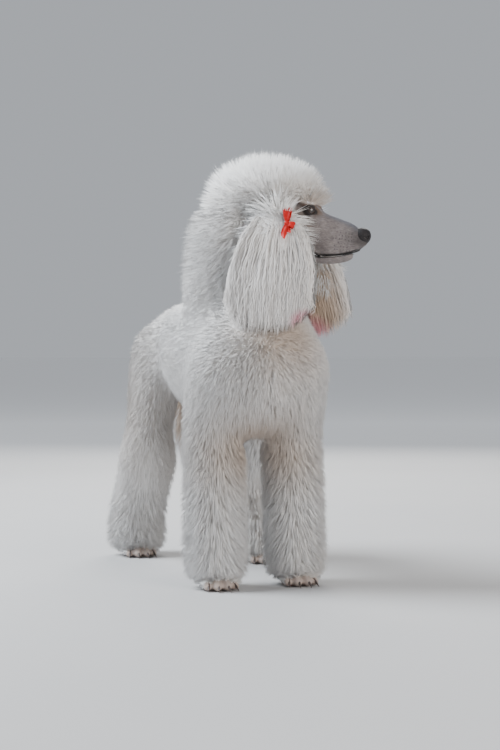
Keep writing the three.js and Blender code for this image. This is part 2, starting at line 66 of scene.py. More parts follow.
EYES_MIDDLE = (middle_of("eye_right") + middle_of("eye_left")) / 2
SKULL = EYES_MIDDLE - TURN @ NOD @ Vector((0, -EYE[1] * MM, EYE[2] * MM))
SKULL_OVER_START = Vector((0.046, 0.008, 0.768))  # the skull from the floor between the forelegs
START = SKULL - SKULL_OVER_START
HEAD = Matrix.Translation(SKULL) @ (TURN @ NOD).to_4x4()
HANG = Matrix.Translation(SKULL) @ TURN.to_4x4()


# Body forms as stations: middle x, y, z, half width, half depth and length of coat, in millimetres.
TORSO = [
    (0, -112, 456, 52, 68, 24), (0, -88, 455, 82, 96, 25), (0, -35, 455, 106, 122, 28),
    (0, 55, 456, 111, 122, 28), (0, 155, 465, 113, 117, 28), (0, 255, 475, 111, 107, 27),
    (0, 345, 486, 101, 92, 26), (0, 425, 490, 98, 84, 27), (0, 500, 483, 92, 80, 30),
    (0, 535, 474, 72, 68, 30),
]
NECK = [
    (22, 36, 790, 58, 58, 52), (8, 50, 735, 80, 80, 57), (5, 64, 680, 88, 88, 54),
    (2, 78, 620, 94, 98, 44), (0, 88, 560, 98, 108, 32),
]
FORE_FOOT = {"right": -26, "left": -6}
HIND_FEET = {"right": (-124, 566), "left": (122, 372)}
TAIL = [
    (2, 540, 528, 22, 22, 18), (4, 580, 495, 15, 15, 30), (7, 598, 440, 12, 12, 40),
    (8, 599, 370, 10, 10, 46), (8, 594, 300, 8, 8, 48), (8, 590, 262, 6, 6, 44),
]
TOPKNOT = [  # forward and up of the skull, half width, half depth, coat
    (-118, 2, 10, 14, 42), (-92, 14, 34, 34, 48), (-40, 32, 52, 46, 47),
    (2, 42, 54, 42, 46), (36, 52, 42, 30, 42), (58, 56, 24, 17, 38),
]
SKULL_FORM = [  # forward and up of the skull, half width, half depth
    (-52, 4, 34, 32), (-34, 2, 47, 46), (0, -4, 53, 54), (40, -12, 49, 56), (74, -18, 42, 53),
    (98, -22, 35, 45), (125, -23, 30, 40), (153, -22, 26, 34), (178, -21, 22.5, 26), (193, -16, 18, 18),
]
JAW_FORM = [
    (50, -50, 38, 32), (86, -60, 30, 26), (115, -66, 23, 18), (140, -66, 18, 14), (162, -61, 14.5, 11.5),
    (173, -57, 11, 9),
]


def foreleg(side, foot):
    return [
        (side * 74, -28, 470, 56, 86, 22), (side * 80, -2, 390, 52, 66, 27),
        (side * 85, foot + 34, 320, 47, 46, 31), (side * 87, foot + 26, 250, 37, 37, 36),
        (side * 88, foot + 20, 150, 33, 34, 40), (side * 88, foot + 14, 80, 31, 33, 42),
        (side * 88, foot + 10, 40, 29, 33, 36),
    ]


def hindleg(side, foot):
    out, foot_y = abs(foot[0]), foot[1]
    share = (foot_y - 372) / 194

    def lean(forward, behind):
        return forward + (behind - forward) * share

    return [
        (side * 70, 474, 480, 70, 90, 26), (side * 103, lean(440, 464), 410, 43, 84, 27),
        (side * 117, lean(408, 456), 345, 32, 68, 27), (side * 121, lean(398, 466), 292, 31, 53, 29),
        (side * 111, lean(418, 520), 235, 35, 41, 36),
        (side * lean(114, 109), lean(436, 568), 180, 32, 36, 38),
        (side * (out - 5), lean(412, 584), 115, 31, 33, 43), (side * out, foot_y + 14, 60, 31, 33, 44),
        (side * out, foot_y + 8, 42, 29, 33, 38),
    ]


def smooth_rows(rows, steps):
    """Rows between the given ones, on a Catmull-Rom curve."""
    rows = np.array(rows, float)
    padded = np.vstack([2 * rows[0] - rows[1], rows, 2 * rows[-1] - rows[-2]])
    out = []
    for i in range(len(rows) - 1):
        a, b, c, d = padded[i:i + 4]
        for k in range(steps):
            t = k / steps
            out.append(0.5 * (2 * b + (c - a) * t + (2 * a - 5 * b + 4 * c - d) * t ** 2
                              + (3 * b - a - 3 * c + d) * t ** 3))
    return np.array(out + [rows[-1]])


def body_rings(stations, steps, across=(1, 0, 0)):
    """Centres, tangents, cross directions, radii and coat along a form, placed in the frame."""
    rows = smooth_rows(stations, steps)
    centres = rows[:, :3] * MM + np.array(START)
    return rings_from(centres, rows[:, 3:5] * MM, rows[:, 5] * MM, across)


def head_rings(stations, steps, frame_of=HEAD):
    rows = smooth_rows(stations, steps)
    turn = np.array(frame_of.to_3x3())
    local = np.column_stack([np.zeros(len(rows)), -rows[:, 0], rows[:, 1]]) * MM
    centres = local @ turn.T + np.array(frame_of.translation)
    coat = rows[:, 4] * MM if rows.shape[1] > 4 else np.zeros(len(rows))
    return rings_from(centres, rows[:, 2:4] * MM, coat, turn[:, 0])


def rings_from(centres, radii, coat, across):
    along = np.gradient(centres, axis=0)
    along /= np.linalg.norm(along, axis=1, keepdims=True)
    side = np.array(across, float) - along * (along @ np.array(across, float))[:, None]
    side /= np.linalg.norm(side, axis=1, keepdims=True)
    front = np.cross(along, side)
    return {"at": centres, "along": along, "side": side, "front": front, "radii": radii, "coat": coat}


FORMS = {
    "torso": body_rings(TORSO, 4),
    "neck": body_rings(NECK, 4),
    "topknot": head_rings(TOPKNOT, 4),
    "tail": body_rings(TAIL, 4),
}
for side_name, side in SIDES.items():
    FORMS["foreleg_" + side_name] = body_rings(foreleg(side, FORE_FOOT[side_name]), 4)
    FORMS["hindleg_" + side_name] = body_rings(hindleg(side, HIND_FEET[side_name]), 4)


# Helpers for pieces.
def clean_object(name, mesh):
    piece = bpy.data.objects.new(name, mesh)
    bpy.context.collection.objects.link(piece)
    return piece


def work_on(piece):
    bpy.ops.object.select_all(action="DESELECT")
    piece.select_set(True)
    bpy.context.view_layer.objects.active = piece


def apply_modifier(piece, kind, **settings):
    work_on(piece)
    modifier = piece.modifiers.new(kind.title(), kind)
    for key, value in settings.items():
        setattr(modifier, key, value)
    bpy.ops.object.modifier_apply(modifier=modifier.name)


def place_all(piece, matrix=None):
    """Moves a piece's place into its mesh, after an extra matrix."""
    if matrix is not None:
        piece.matrix_world = matrix @ piece.matrix_world
    piece.data.transform(piece.matrix_world)
    piece.matrix_world = Matrix.Identity(4)
    return piece


def points_of(mesh):
    flat = np.empty(len(mesh.vertices) * 3)
    mesh.vertices.foreach_get("co", flat)
    return flat.reshape(-1, 3)


def set_points(mesh, points):
    mesh.vertices.foreach_set("co", np.ascontiguousarray(points, float).ravel())
    mesh.update()


def normals_of(mesh):
    flat = np.empty(len(mesh.vertices) * 3)
    mesh.vertices.foreach_get("normal", flat)
    return flat.reshape(-1, 3)


def limb(name, rings, sides=28, bulge=0.6, boxy=0.0):
    """A ball whose rows of points are moved onto a form's rings, with its two ends domed."""
    count = len(rings["at"])
    caps = [0.35, 0.7, 0.93]
    bpy.ops.mesh.primitive_uv_sphere_add(segments=sides, ring_count=count + 2 * len(caps) + 1)
    piece = bpy.context.object
    piece.name = name
    turn = np.arange(sides) / sides * 2 * math.pi
    square = 1 + boxy * np.sin(2 * turn) ** 2
    reach = rings["radii"]

    def row(i, shrink=1.0, push=0.0):
        centre = rings["at"][i] + rings["along"][i] * push
        return (centre + np.outer(np.cos(turn) * square * reach[i, 0] * shrink, rings["side"][i])
                + np.outer(np.sin(turn) * square * reach[i, 1] * shrink, rings["front"][i]))

    ends = [(0, -1), (count - 1, 1)]
    domes = {}
    for i, sign in ends:
        size = reach[i].min() * bulge
        domes[i] = [row(i, math.sqrt(1 - c * c), sign * c * size) for c in caps]
        domes[i].append(rings["at"][i] + rings["along"][i] * sign * size)
    rows = domes[0][2::-1] + [row(i) for i in range(count)] + domes[count - 1][:3]
    # The ball's rows run from its top to its bottom, and its two poles come first and last.
    sphere = points_of(piece.data)
    order = np.lexsort((np.arctan2(sphere[:, 1], sphere[:, 0]) % (2 * math.pi), -np.round(sphere[:, 2], 5)))
    points = np.empty_like(sphere)
    points[order[0]] = domes[0][3]
    points[order[-1]] = domes[count - 1][3]
    points[order[1:-1]] = np.vstack(rows)
    set_points(piece.data, points)
    work_on(piece)
    bpy.ops.object.mode_set(mode="EDIT")
    bpy.ops.mesh.select_all(action="SELECT")
    bpy.ops.mesh.normals_make_consistent(inside=False)
    bpy.ops.object.mode_set(mode="OBJECT")
    return piece


def join_all(pieces, name):
    work_on(pieces[0])
    for piece in pieces:
        piece.select_set(True)
    bpy.ops.object.join()
    pieces[0].name = name
    return pieces[0]


def ball(name, centre, radii, frame_of=None, segments=32):
    bpy.ops.mesh.primitive_uv_sphere_add(segments=segments, ring_count=segments // 2)
    piece = bpy.context.object
    piece.name = name
    shape = Matrix.Translation(centre) @ Matrix.Diagonal((*radii, 1))
    return place_all(piece, (frame_of or Matrix.Identity(4)) @ shape)


def remesh(piece, size, smooth_steps, factor=0.5):
    apply_modifier(piece, "REMESH", mode="VOXEL", voxel_size=size)
    if smooth_steps:
        apply_modifier(piece, "SMOOTH", factor=factor, iterations=smooth_steps)


def combine(piece, other, operation):
    apply_modifier(piece, "BOOLEAN", operation=operation, object=other, solver="MANIFOLD")
    bpy.data.objects.remove(other)


def smoothstep(low, high, value):
    t = np.clip((value - low) / (high - low), 0, 1)
    return t * t * (3 - 2 * t)


def relaxed(mesh, values, amount, steps):
    """Values at a mesh's points, evened out with their neighbours' over a number of steps."""
    edges = np.empty(len(mesh.edges) * 2, np.int64)
    mesh.edges.foreach_get("vertices", edges)
    a, b = edges.reshape(-1, 2).T
    ends, starts = np.concatenate([a, b]), np.concatenate([b, a])
    degree = np.maximum(np.bincount(ends, minlength=len(values)), 1)[:, None]
    for _ in range(steps):
        sums = [np.bincount(ends, values[starts, k], minlength=len(values)) for k in range(3)]
        total = np.column_stack(sums)
        values = values + (total / degree - values) * 0.5 * amount[:, None]
    return values


# The skin: every form of the body, with the head and feet in a finer mesh.
JOIN_STEPS = 70  # how often the creases between the forms are evened out


def build_body_skin():
    parts = [limb("body", FORMS["torso"], boxy=0.08)]
    for name, rings in FORMS.items():
        if name not in ("torso", "tail"):
            parts.append(limb(name, rings))
    parts.append(limb("tail", FORMS["tail"], sides=16))
    parts += [ear_flap(name) for name in SIDES]
    body = join_all(parts, "skin")
    remesh(body, 7 * MM, 8)
    points = points_of(body.data)
    place = (points - np.array(START)) / MM
    # The creases where the legs, neck and body run into each other are filled and rounded.
    back, up = place[:, 1], place[:, 2]
    at_joins = smoothstep(270, 350, up) * smoothstep(640, 580, up) * smoothstep(560, 530, back)
    set_points(body.data, relaxed(body.data, points, at_joins, JOIN_STEPS))
    return body


EAR_ROWS = [  # up, outwards, forward, half length, half thickness
    (10, 60, 22, 24, 8), (-30, 84, 26, 38, 8), (-85, 106, 28, 50, 7), (-140, 116, 26, 56, 6),
    (-175, 120, 24, 48, 5),
]
EAR_SWING = {"right": 0, "left": 26}  # how far forward each ear swings at its lower end
EAR_ROOT, EAR_DROP = 10, 230  # where an ear starts, and how far down the swing is measured
EAR_LOWEST = {"right": -246, "left": -252}
EAR_BELLY = {"right": 0.34, "left": 0.0}  # how far the front edge swells
EAR_BOTTOM = {"out": 134, "forward": 20, "half": 95, "thick": 28}


def swung(name, forward, up):
    return forward + EAR_SWING[name] * (EAR_ROOT - up) / EAR_DROP


def ear_rings(name, steps):
    rows = smooth_rows(EAR_ROWS, steps)
    local = np.column_stack([
        SIDES[name] * rows[:, 1],
        -swung(name, rows[:, 2], rows[:, 0]),
        rows[:, 0]]) * MM
    turn = np.array(HANG.to_3x3())
    centres = local @ turn.T + np.array(HANG.translation)
    return rings_from(centres, rows[:, [4, 3]] * MM, np.zeros(len(rows)), turn[:, 0])


def ear_flap(name):
    return limb("ear_flap_" + name, ear_rings(name, 3), sides=20)


def head_part(name, left, forward, up, wide, long, high):
    return ball(name, Vector((left, -forward, up)) * MM, Vector((wide, long, high)) * MM, HEAD, 24)


def build_head_skin():
    parts = [limb("head", head_rings(SKULL_FORM, 4), sides=36), limb("jaw", head_rings(JAW_FORM, 3))]
    for side in SIDES.values():
        parts.append(head_part("cheek", side * 31, 38, -24, 22, 36, 28))
        parts.append(head_part("brow", side * 25, 68, 33, 17, 22, 11))
        parts.append(head_part("under_eye", side * 29, 92, 2, 14, 24, 12))
        parts.append(head_part("upper_lip", side * 14, 152, -41, 12.5, 38, 17))
        parts.append(head_part("lip_corner", side * 19, 126, -46, 12, 30, 19))
        parts.append(head_part("nose_side", side * 9, 178, -16, 12, 19, 15))
    head = join_all(parts, "head_skin")
    remesh(head, 2.2 * MM, 10)
    for side in SIDES.values():
        combine(head, head_part("lid", side * 33, 79.5, 20, 13.2, 13.2, 13.2), "UNION")
    remesh(head, 1.8 * MM, 4)
    for side in SIDES.values():
        combine(head, eye_opening(side), "DIFFERENCE")
    combine(head, mouth_slit(), "DIFFERENCE")
    return head


EYE_RADIUS = 11.6
GAZE_OUT = math.radians(52)


def eye_place(side):
    return Matrix.Translation(Vector((side * EYE[0], -EYE[1], EYE[2])) * MM)


def eye_opening(side):
    """An almond-shaped hole through the lids, with room for the eye behind it."""
    bpy.ops.mesh.primitive_cylinder_add(vertices=24, radius=1, depth=1)
    almond = bpy.context.object
    points = points_of(almond.data)
    along, height = points[:, 0].copy(), points[:, 1].copy()
    pinch = 1 - 0.25 * along ** 2
    points[:, 0] = along * 10.8 * MM
    points[:, 1] = height * pinch * 5.8 * MM
    points[:, 2] = (points[:, 2] + 0.5) * 30 * MM
    set_points(almond.data, points)
    # Its length lies along the head with the inner corner lower, and its depth points out of the eye.
    stand = Matrix.Rotation(math.radians(90), 4, "X")
    turn = Matrix.Rotation(side * GAZE_OUT, 4, "Z")
    roll = Matrix.Rotation(side * math.radians(-10), 4, "Y")
    place_all(almond, HEAD @ eye_place(side) @ turn @ roll @ stand)
    hollow = head_part("hollow", side * 33, 80, 20, EYE_RADIUS, EYE_RADIUS, EYE_RADIUS)
    combine(hollow, almond, "UNION")
    return hollow


MOUTH = [(103, -67), (112, -69), (128, -66), (145, -62.5), (162, -57.5), (178, -51), (190, -44), (206, -33)]
LIP_GAP = 3.0


def mouth_slit():
    """A curved plate across the jaw, taken out to part the lips."""
    mesh = bpy.data.meshes.new("mouth")
    edit = bmesh.new()
    rows = smooth_rows(MOUTH, 3)
    edge = [(f, u + LIP_GAP * 0.5) for f, u in rows] + [(f, u - LIP_GAP * 0.5) for f, u in rows[::-1]]
    face = edit.faces.new([edit.verts.new((60 * MM, -f * MM, u * MM)) for f, u in edge])
    pushed = bmesh.ops.extrude_face_region(edit, geom=[face])["geom"]
    moved = [v for v in pushed if isinstance(v, bmesh.types.BMVert)]
    bmesh.ops.translate(edit, verts=moved, vec=(-120 * MM, 0, 0))
    bmesh.ops.recalc_face_normals(edit, faces=edit.faces)
    edit.to_mesh(mesh)
    edit.free()
    plate = clean_object("mouth_slit", mesh)
    return place_all(plate, HEAD)


TOES = [(-27, 16, 9.5), (-10, 27, 10.5), (10, 27, 10.5), (27, 16, 9.5)]  # across, forward, radius
FEET = {
    "fore_right": (-88, FORE_FOOT["right"]), "fore_left": (88, FORE_FOOT["left"]),
    "hind_right": HIND_FEET["right"], "hind_left": HIND_FEET["left"],
}


def build_paw_skin(name):
    x, y = FEET[name]
    origin = START + Vector((x, y, 0)) * MM

    def part(across, forward, up, radii, turn=0):
        spot = Matrix.Translation(origin + Vector((across, -forward, up)) * MM)
        return ball("pad", Vector(), Vector(radii) * MM, spot @ Matrix.Rotation(turn, 4, "Z"), 24)

    parts = [part(0, -6, 16, (31, 38, 38))]
    for across, forward, radius in TOES:
        turn = math.radians(across * 0.5)
        for reach, ahead, up, shape in (
                (1, 8, radius + 1, (1, 1.7, 1)),
                (1.05, 18, radius * 0.85 + 1, (0.82, 1.1, 0.8)),
                (0.8, -6, radius + 9, (0.8, 1.8, 0.9))):
            parts.append(part(across * reach, ahead + forward, up, [radius * k for k in shape], turn))
    paw = join_all(parts, "paw_" + name)
    remesh(paw, 2.6 * MM, 3)
    work_on(paw)
    bpy.ops.object.mode_set(mode="EDIT")
    bpy.ops.mesh.select_all(action="SELECT")
    sole = (0, 0, START.z + 0.4 * MM)
    bpy.ops.mesh.bisect(plane_co=sole, plane_no=(0, 0, 1), clear_inner=True, use_fill=True)
    bpy.ops.object.mode_set(mode="OBJECT")
    return paw


def build_skin():
    skin = build_body_skin()
    combine(skin, build_head_skin(), "UNION")
    for name in FEET:
        combine(skin, build_paw_skin(name), "UNION")
    work_on(skin)
    bpy.ops.object.shade_smooth()
    return skin


# Markings and painted shade, worked out for any point: the same ones colour the skin and the coat.
HEAD_INVERSE = np.array(HEAD.inverted())


def to_head(points):
    """Left, forward and up of the skull's middle, in millimetres."""
    local = points @ HEAD_INVERSE[:3, :3].T + HEAD_INVERSE[:3, 3]
    return np.column_stack([local[:, 0], -local[:, 1], local[:, 2]]) / MM


def bareness(points):
    """1 on the clipped face and toes, 0 under the coat."""
    left, forward, up = to_head(points).T
    brow = 36 - 0.10 * np.abs(left)
    hairline = np.interp(up, [-95, -70, -50, -30, -10, 0], [88, 84, 76, 64, 54, 48])
    face = smoothstep(-6, 6, forward - hairline) * smoothstep(6, -2, up - brow)
    face *= smoothstep(-112, -102, up) * (np.abs(left) < 75)
    place = points - np.array(START)
    toes = np.zeros(len(points))
    for x, y in FEET.values():
        ahead = smoothstep(20, 38, (y - place[:, 1] / MM))
        close = np.hypot(place[:, 0] / MM - x, place[:, 1] / MM - y) < 70
        toes = np.maximum(toes, close * ahead * smoothstep(30, 19, place[:, 2] / MM))
    sole = smoothstep(8, 3, place[:, 2] / MM)
    return np.maximum(np.maximum(face, toes), sole)


def cream_stain_and_shade(points):
    """Where the white coat is painted beige, partly a cream stain and partly painted shade: under the ears,
    between the legs and on the tail.
    """
    place = (points - np.array(START)) / MM
    spots = [((35, -110, 520), 75, 0.75), ((0, -40, 325), 85, 0.9), ((-60, -20, 270), 60, 0.35),
             ((60, -20, 270), 60, 0.35), ((-70, 480, 330), 90, 0.45), ((5, 600, 380), 170, 0.9)]
    total = np.zeros(len(points))
    for at, size, level in spots:
        total += level * np.exp(-np.sum((place - np.array(at)) ** 2, axis=1) / size ** 2)
    return np.clip(total, 0, 1)


def distance_to_line(points, line):
    """Smallest distance from 2-D points to a broken line."""
    line = np.array(line, float)
    best = np.full(len(points), 1e9)
    for a, b in zip(line[:-1], line[1:]):
        t = np.clip(((points - a) @ (b - a)) / ((b - a) @ (b - a)), 0, 1)
        best = np.minimum(best, np.linalg.norm(points - a - t[:, None] * (b - a), axis=1))
    return best


def paint(mesh, name, values):
    layer = mesh.attributes.new(name, "FLOAT", "POINT")
    layer.data.foreach_set("value", np.ascontiguousarray(values, np.float32))


def paint_skin(mesh):
    points = points_of(mesh)
    left, forward, up = to_head(points).T
    flat = np.column_stack([forward, up])
    bare = bareness(points)
    in_face = smoothstep(30, 50, forward) * (np.abs(left) < 70)
    lip_width = np.interp(forward, [104, 118, 150, 190], [5.5, 5.0, 3.4, 3.0])
    lips = smoothstep(1.25, 0.6, distance_to_line(flat, MOUTH) / lip_width) * smoothstep(93, 100, forward)
    ahead, above = forward - EYE[1], up - EYE[2]
    aside = np.abs(left) - EYE[0]
    eye = np.linalg.norm(np.column_stack([aside, ahead, above]), axis=1)
    rim = np.hypot(ahead / 15.5, (above + ahead * 0.2) / 8.6)
    lids = np.maximum(smoothstep(14.4, 12.9, eye), smoothstep(1.15, 0.85, rim) * smoothstep(22, 17, eye))
    tip = smoothstep(150, 194, forward) * smoothstep(-52, -26, up)
    above_eye = smoothstep(15, 2, distance_to_line(flat, [(66, 34), (86, 30), (94, 20)]))
    below_eye = smoothstep(22, 2, distance_to_line(flat, [(58, 6), (68, -4), (84, -10)]))
    tear = np.maximum(above_eye, below_eye * 0.5) * (np.abs(left) > 12)
    # Painted shade: the top of the muzzle is painted a cool, darker grey.
    bridge = smoothstep(22, 6, np.abs(left)) * smoothstep(-12, 8, up + (forward - 100) * 0.14)
    bridge = bridge * smoothstep(92, 125, forward)
    whisker = smoothstep(126, 142, forward) * smoothstep(192, 180, forward) * smoothstep(-56, -50, up)
    whisker = whisker * smoothstep(-4, -14, up + (forward - 150) * 0.15)
    dark = np.clip(np.maximum.reduce([lips, lids * 0.95, tip * 0.75]), 0, 1)
    # The beige painted under the ears, between the legs and on the tail is partly a cream stain and partly
    # painted shade.
    for name, values in [
        ("bare", bare), ("dark", dark * in_face), ("tear", tear * in_face),
        ("bridge", bridge * in_face), ("whisker", whisker), ("toe", bare * (points[:, 2] < 0.1)),
        ("ahead", forward * MM), ("above", up * MM), ("cream_and_shade", cream_stain_and_shade(points)),
    ]:
        paint(mesh, name, values)


# The coat's length and lie at any point, blended from the nearest rings of every form.
FORM_NAMES = list(FORMS)
FIELD = {key: np.concatenate([FORMS[name][key] for name in FORM_NAMES])
         for key in ("at", "along", "side", "front", "radii", "coat")}
FIELD["form"] = np.concatenate([np.full(len(FORMS[name]["at"]), i) for i, name in enumerate(FORM_NAMES)])
FIELD["share"] = np.concatenate([np.linspace(0, 1, len(FORMS[name]["at"])) for name in FORM_NAMES])
CHUNK = 8000

# How each part of the coat is worn: its lean from upright, how much of that runs along the part
# and how much straight down, the share of gathering into curls, and the curl in millimetres.
COAT_STYLES = {
    "topknot": (0.08, 0.0, 0.0, 0.20, 0.9), "neck": (0.40, 0.7, 0.4, 0.30, 1.6),
    "torso": (0.60, 0.16, 1.0, 0.34, 1.9), "foreleg": (0.70, 0.7, 0.5, 0.25, 1.6),
    "hindleg": (0.70, 0.7, 0.5, 0.25, 1.6), "tail": (1.10, 0.5, 1.0, 0.55, 2.5),
}


def coat_field(points):
    """Coat length, style, lie along the form, nearest form, and place round and along it."""
    styles = np.array([COAT_STYLES[name.split("_")[0]] for name in FORM_NAMES])[FIELD["form"]]
    found = []
    for start in range(0, len(points), CHUNK):
        offset = points[start:start + CHUNK, None, :] - FIELD["at"][None]
        across = np.einsum("nmk,mk->nm", offset, FIELD["side"])
        ahead = np.einsum("nmk,mk->nm", offset, FIELD["front"])
        along = np.einsum("nmk,mk->nm", offset, FIELD["along"])
        size = FIELD["radii"].mean(axis=1)
        far = (across / FIELD["radii"][:, 0]) ** 2 + (ahead / FIELD["radii"][:, 1]) ** 2 + (along / size) ** 2
        near = far.argmin(axis=1)
        weight = np.exp(-4 * (far - far.min(axis=1, keepdims=True)))
        weight /= weight.sum(axis=1, keepdims=True)
        rows = np.arange(len(near))
        turn = np.arctan2(ahead[rows, near], across[rows, near]) / (2 * math.pi) + 0.5
        found.append(np.column_stack([
            weight @ FIELD["coat"], weight @ styles, weight @ FIELD["along"],
            FIELD["form"][near], FIELD["share"][near], turn]))
    found = np.concatenate(found)
    return found[:, 0], found[:, 1:6], found[:, 6:9], found[:, 9].astype(int), found[:, 10], found[:, 11]


def unit(vectors):
    return vectors / np.maximum(np.linalg.norm(vectors, axis=-1, keepdims=True), 1e-9)


def skin_sampler(mesh):
    """A function that scatters random points over the skin, with their normals evened out."""
    mesh.calc_loop_triangles()
    corners = np.empty(len(mesh.loop_triangles) * 3, np.int64)
    mesh.loop_triangles.foreach_get("vertices", corners)
    corners = corners.reshape(-1, 3)
    points, normals = points_of(mesh), normals_of(mesh)
    normals = unit(relaxed(mesh, normals, np.ones(len(normals)), 12))
    a, b, c = (points[corners[:, k]] for k in range(3))
    area = np.linalg.norm(np.cross(b - a, c - a), axis=1) / 2
    covered = area * (1 - bareness((a + b + c) / 3))

    def scatter(count, chance):
        pick = chance.choice(len(area), size=count, p=covered / covered.sum())
        u, v = chance.random(count), chance.random(count)
        flip = u + v > 1
        u, v = np.where(flip, 1 - u, u), np.where(flip, 1 - v, v)

        def mix(values):
            picked = values[corners[pick]]
            return picked[:, 0] * (1 - u - v)[:, None] + picked[:, 1] * u[:, None] + picked[:, 2] * v[:, None]

        return mix(points), unit(mix(normals))

    return scatter, covered.sum()


def nearest_of(points, seeds):
    tree = kdtree.KDTree(len(seeds))
    for i, seed in enumerate(seeds):
        tree.insert(seed, i)
    tree.balance()
    return np.array([tree.find(point)[1] for point in points])


TILES = 4  # the unwrap has a tile for each form, four to a row
TUFT_PATCH = 0.003


def unwrap_place(form, share, turn):
    return np.column_stack([
        (form % TILES + 0.04 + 0.92 * turn) / TILES, (form // TILES + 0.04 + 0.92 * share) / TILES])


def tuft_mesh(name, batches):
    """Solid three-sided tufts, closed at the root and drawn to a point at the tip.

    Each batch holds paths, radii, a profile of the radius along the path, the skin's normals at the
    roots, places on the unwrap, and values to paint.
    """
    points, normals, corners, totals, uvs, painted = [], [], [], [], [], {"along": []}
    first_point = 0
    for paths, radii, profile, upright, places, paints in batches:
        count, steps, _ = paths.shape
        if not count:
            continue
        rings = steps - 1
        along = unit(np.gradient(paths, axis=1))
        lean = unit(np.cross(upright, along[:, 0]) + 1e-3)[:, None, :]
        side = unit(lean - along * np.sum(lean * along, axis=2, keepdims=True))
        second = np.cross(along, side)
        outward = np.stack([side * math.cos(a) + second * math.sin(a)
                            for a in (j * 2 * math.pi / 3 + 0.5 for j in range(3))], axis=2)
        width = radii[:, None, None, None] * profile[None, :rings, None, None]
        body = paths[:, :rings, None] + outward[:, :rings] * width
        per_tuft = rings * 3 + 1
        points.append(np.concatenate([body.reshape(count, -1, 3), paths[:, -1:]], axis=1).reshape(-1, 3))
        # The coat is shaded mostly as the skin below it turns, so that it looks soft.
        soft = upright[:, None, None] + outward[:, :rings] * 0.5
        ends = upright + along[:, -1] * 0.3
        soft = np.concatenate([soft.reshape(count, -1, 3), ends[:, None]], axis=1)
        normals.append(unit(soft).reshape(-1, 3))
        faces = [[k * 3 + j, k * 3 + (j + 1) % 3, k * 3 + 3 + (j + 1) % 3, k * 3 + 3 + j]
                 for k in range(rings - 1) for j in range(3)]
        last = (rings - 1) * 3
        faces += [[2, 1, 0]] + [[last + j, last + (j + 1) % 3, rings * 3] for j in range(3)]
        each = np.array([i for face in faces for i in face])
        all_corners = (each[None] + first_point + np.arange(count)[:, None] * per_tuft).ravel()
        corners.append(all_corners)
        totals.append(np.tile([len(face) for face in faces], count))
        rise = np.append(np.repeat(np.arange(rings) / rings, 3), 1.0)
        round_it = np.append(np.tile(np.arange(3) / 2, rings), 0.5)
        patch = places[:, None] + np.column_stack([round_it - 0.5, rise - 0.5])[None] * TUFT_PATCH
        uvs.append(patch.reshape(-1, 2)[all_corners - first_point])
        painted["along"].append(np.tile(rise, count))
        for key, values in paints.items():
            painted.setdefault(key, []).append(np.repeat(values, per_tuft))
        first_point += count * per_tuft
    corners, totals = np.concatenate(corners), np.concatenate(totals)
    mesh = bpy.data.meshes.new(name)
    mesh.vertices.add(first_point)
    mesh.vertices.foreach_set("co", np.concatenate(points).astype(np.float32).ravel())
    mesh.loops.add(len(corners))
    mesh.loops.foreach_set("vertex_index", corners.astype(np.int32))
    mesh.polygons.add(len(totals))
    mesh.polygons.foreach_set("loop_start", np.concatenate([[0], np.cumsum(totals)[:-1]]).astype(np.int32))
    mesh.polygons.foreach_set("loop_total", totals.astype(np.int32))
    mesh.polygons.foreach_set("use_smooth", np.ones(len(totals), bool))
    mesh.update(calc_edges=True)
    mesh.uv_layers.new(name="OFBake").data.foreach_set("uv", np.concatenate(uvs).astype(np.float32).ravel())
    for key, values in painted.items():
        paint(mesh, key, np.concatenate(values))
    mesh.normals_split_custom_set_from_vertices(np.concatenate(normals))
    return clean_object(name, mesh)


TUFT_COUNT = int(52000 * DENSITY)
WISP_COUNT = int(172000 * DENSITY)
CURL_PITCH = 12.5 * MM  # from curl to curl
FLOOR_CLEAR = 0.6 * MM
GOLDEN_ANGLE = 2.399  # turns each curl another way


BOW = {"left": 99, "forward": 52, "up": -26, "tilt": math.radians(-24)}
BOW_ROOM = 30  # how far round the bow the hair is kept under it
HANG_TURN, HANG_AT = np.array(HANG.to_3x3()), np.array(HANG.translation)


def out_from_head(points):
    return np.abs(((points - HANG_AT) @ HANG_TURN)[..., 0]) / MM


def kept_under(points, roots=None):
    """Points of the coat pushed in to lie under the bows. Those that grow inside an ear stay under it."""
    local = (points - HANG_AT) @ HANG_TURN / MM
    left, forward, up = np.abs(local[..., 0]), -local[..., 1], local[..., 2]
    rows = np.array(EAR_ROWS, float)[::-1]
    flap = np.interp(up, rows[:, 0], rows[:, 1])
    from_bow = np.hypot(forward - BOW["forward"] + 2, (up - BOW["up"] + 14) * 0.52)
    near_bow = smoothstep(BOW_ROOM, BOW_ROOM * 0.6, from_bow)
    bow_limit = flap + np.interp(up, rows[:, 0], rows[:, 4]) + 4
    left = left + (np.minimum(left, bow_limit) - left) * near_bow
    if roots is not None:
        start = out_from_head(roots).reshape(-1, *[1] * (left.ndim - 1))
        near_ear = smoothstep(-82, -42, forward) * smoothstep(118, 92, forward) * smoothstep(-262, -225, up)
        near_ear = near_ear * smoothstep(22, -8, up) * smoothstep(24, 14, start - flap)
        left = left + (np.minimum(left, np.maximum(flap, start + 5)) - left) * near_ear
    local = np.stack([np.sign(local[..., 0]) * left, local[..., 1], local[..., 2]], axis=-1)
    return local * MM @ HANG_TURN.T + HANG_AT


def above_floor(roots, tips):
    """Tips drawn back along their tufts, to end over the floor."""
    drop = np.maximum(roots[:, 2] - tips[:, 2], 1e-6)
    return roots + (tips - roots) * np.clip((roots[:, 2] - 5 * MM) / drop, 0.12, 1)[:, None]


def flow_of(lie, style, normals):
    """The way that hair lies on the skin, partly along its form and partly straight down."""
    flow = unit(lie) * style[:, 1:2] + np.array([0, 0, -1.0]) * style[:, 2:3]
    return flow - normals * np.sum(flow * normals, axis=1, keepdims=True)


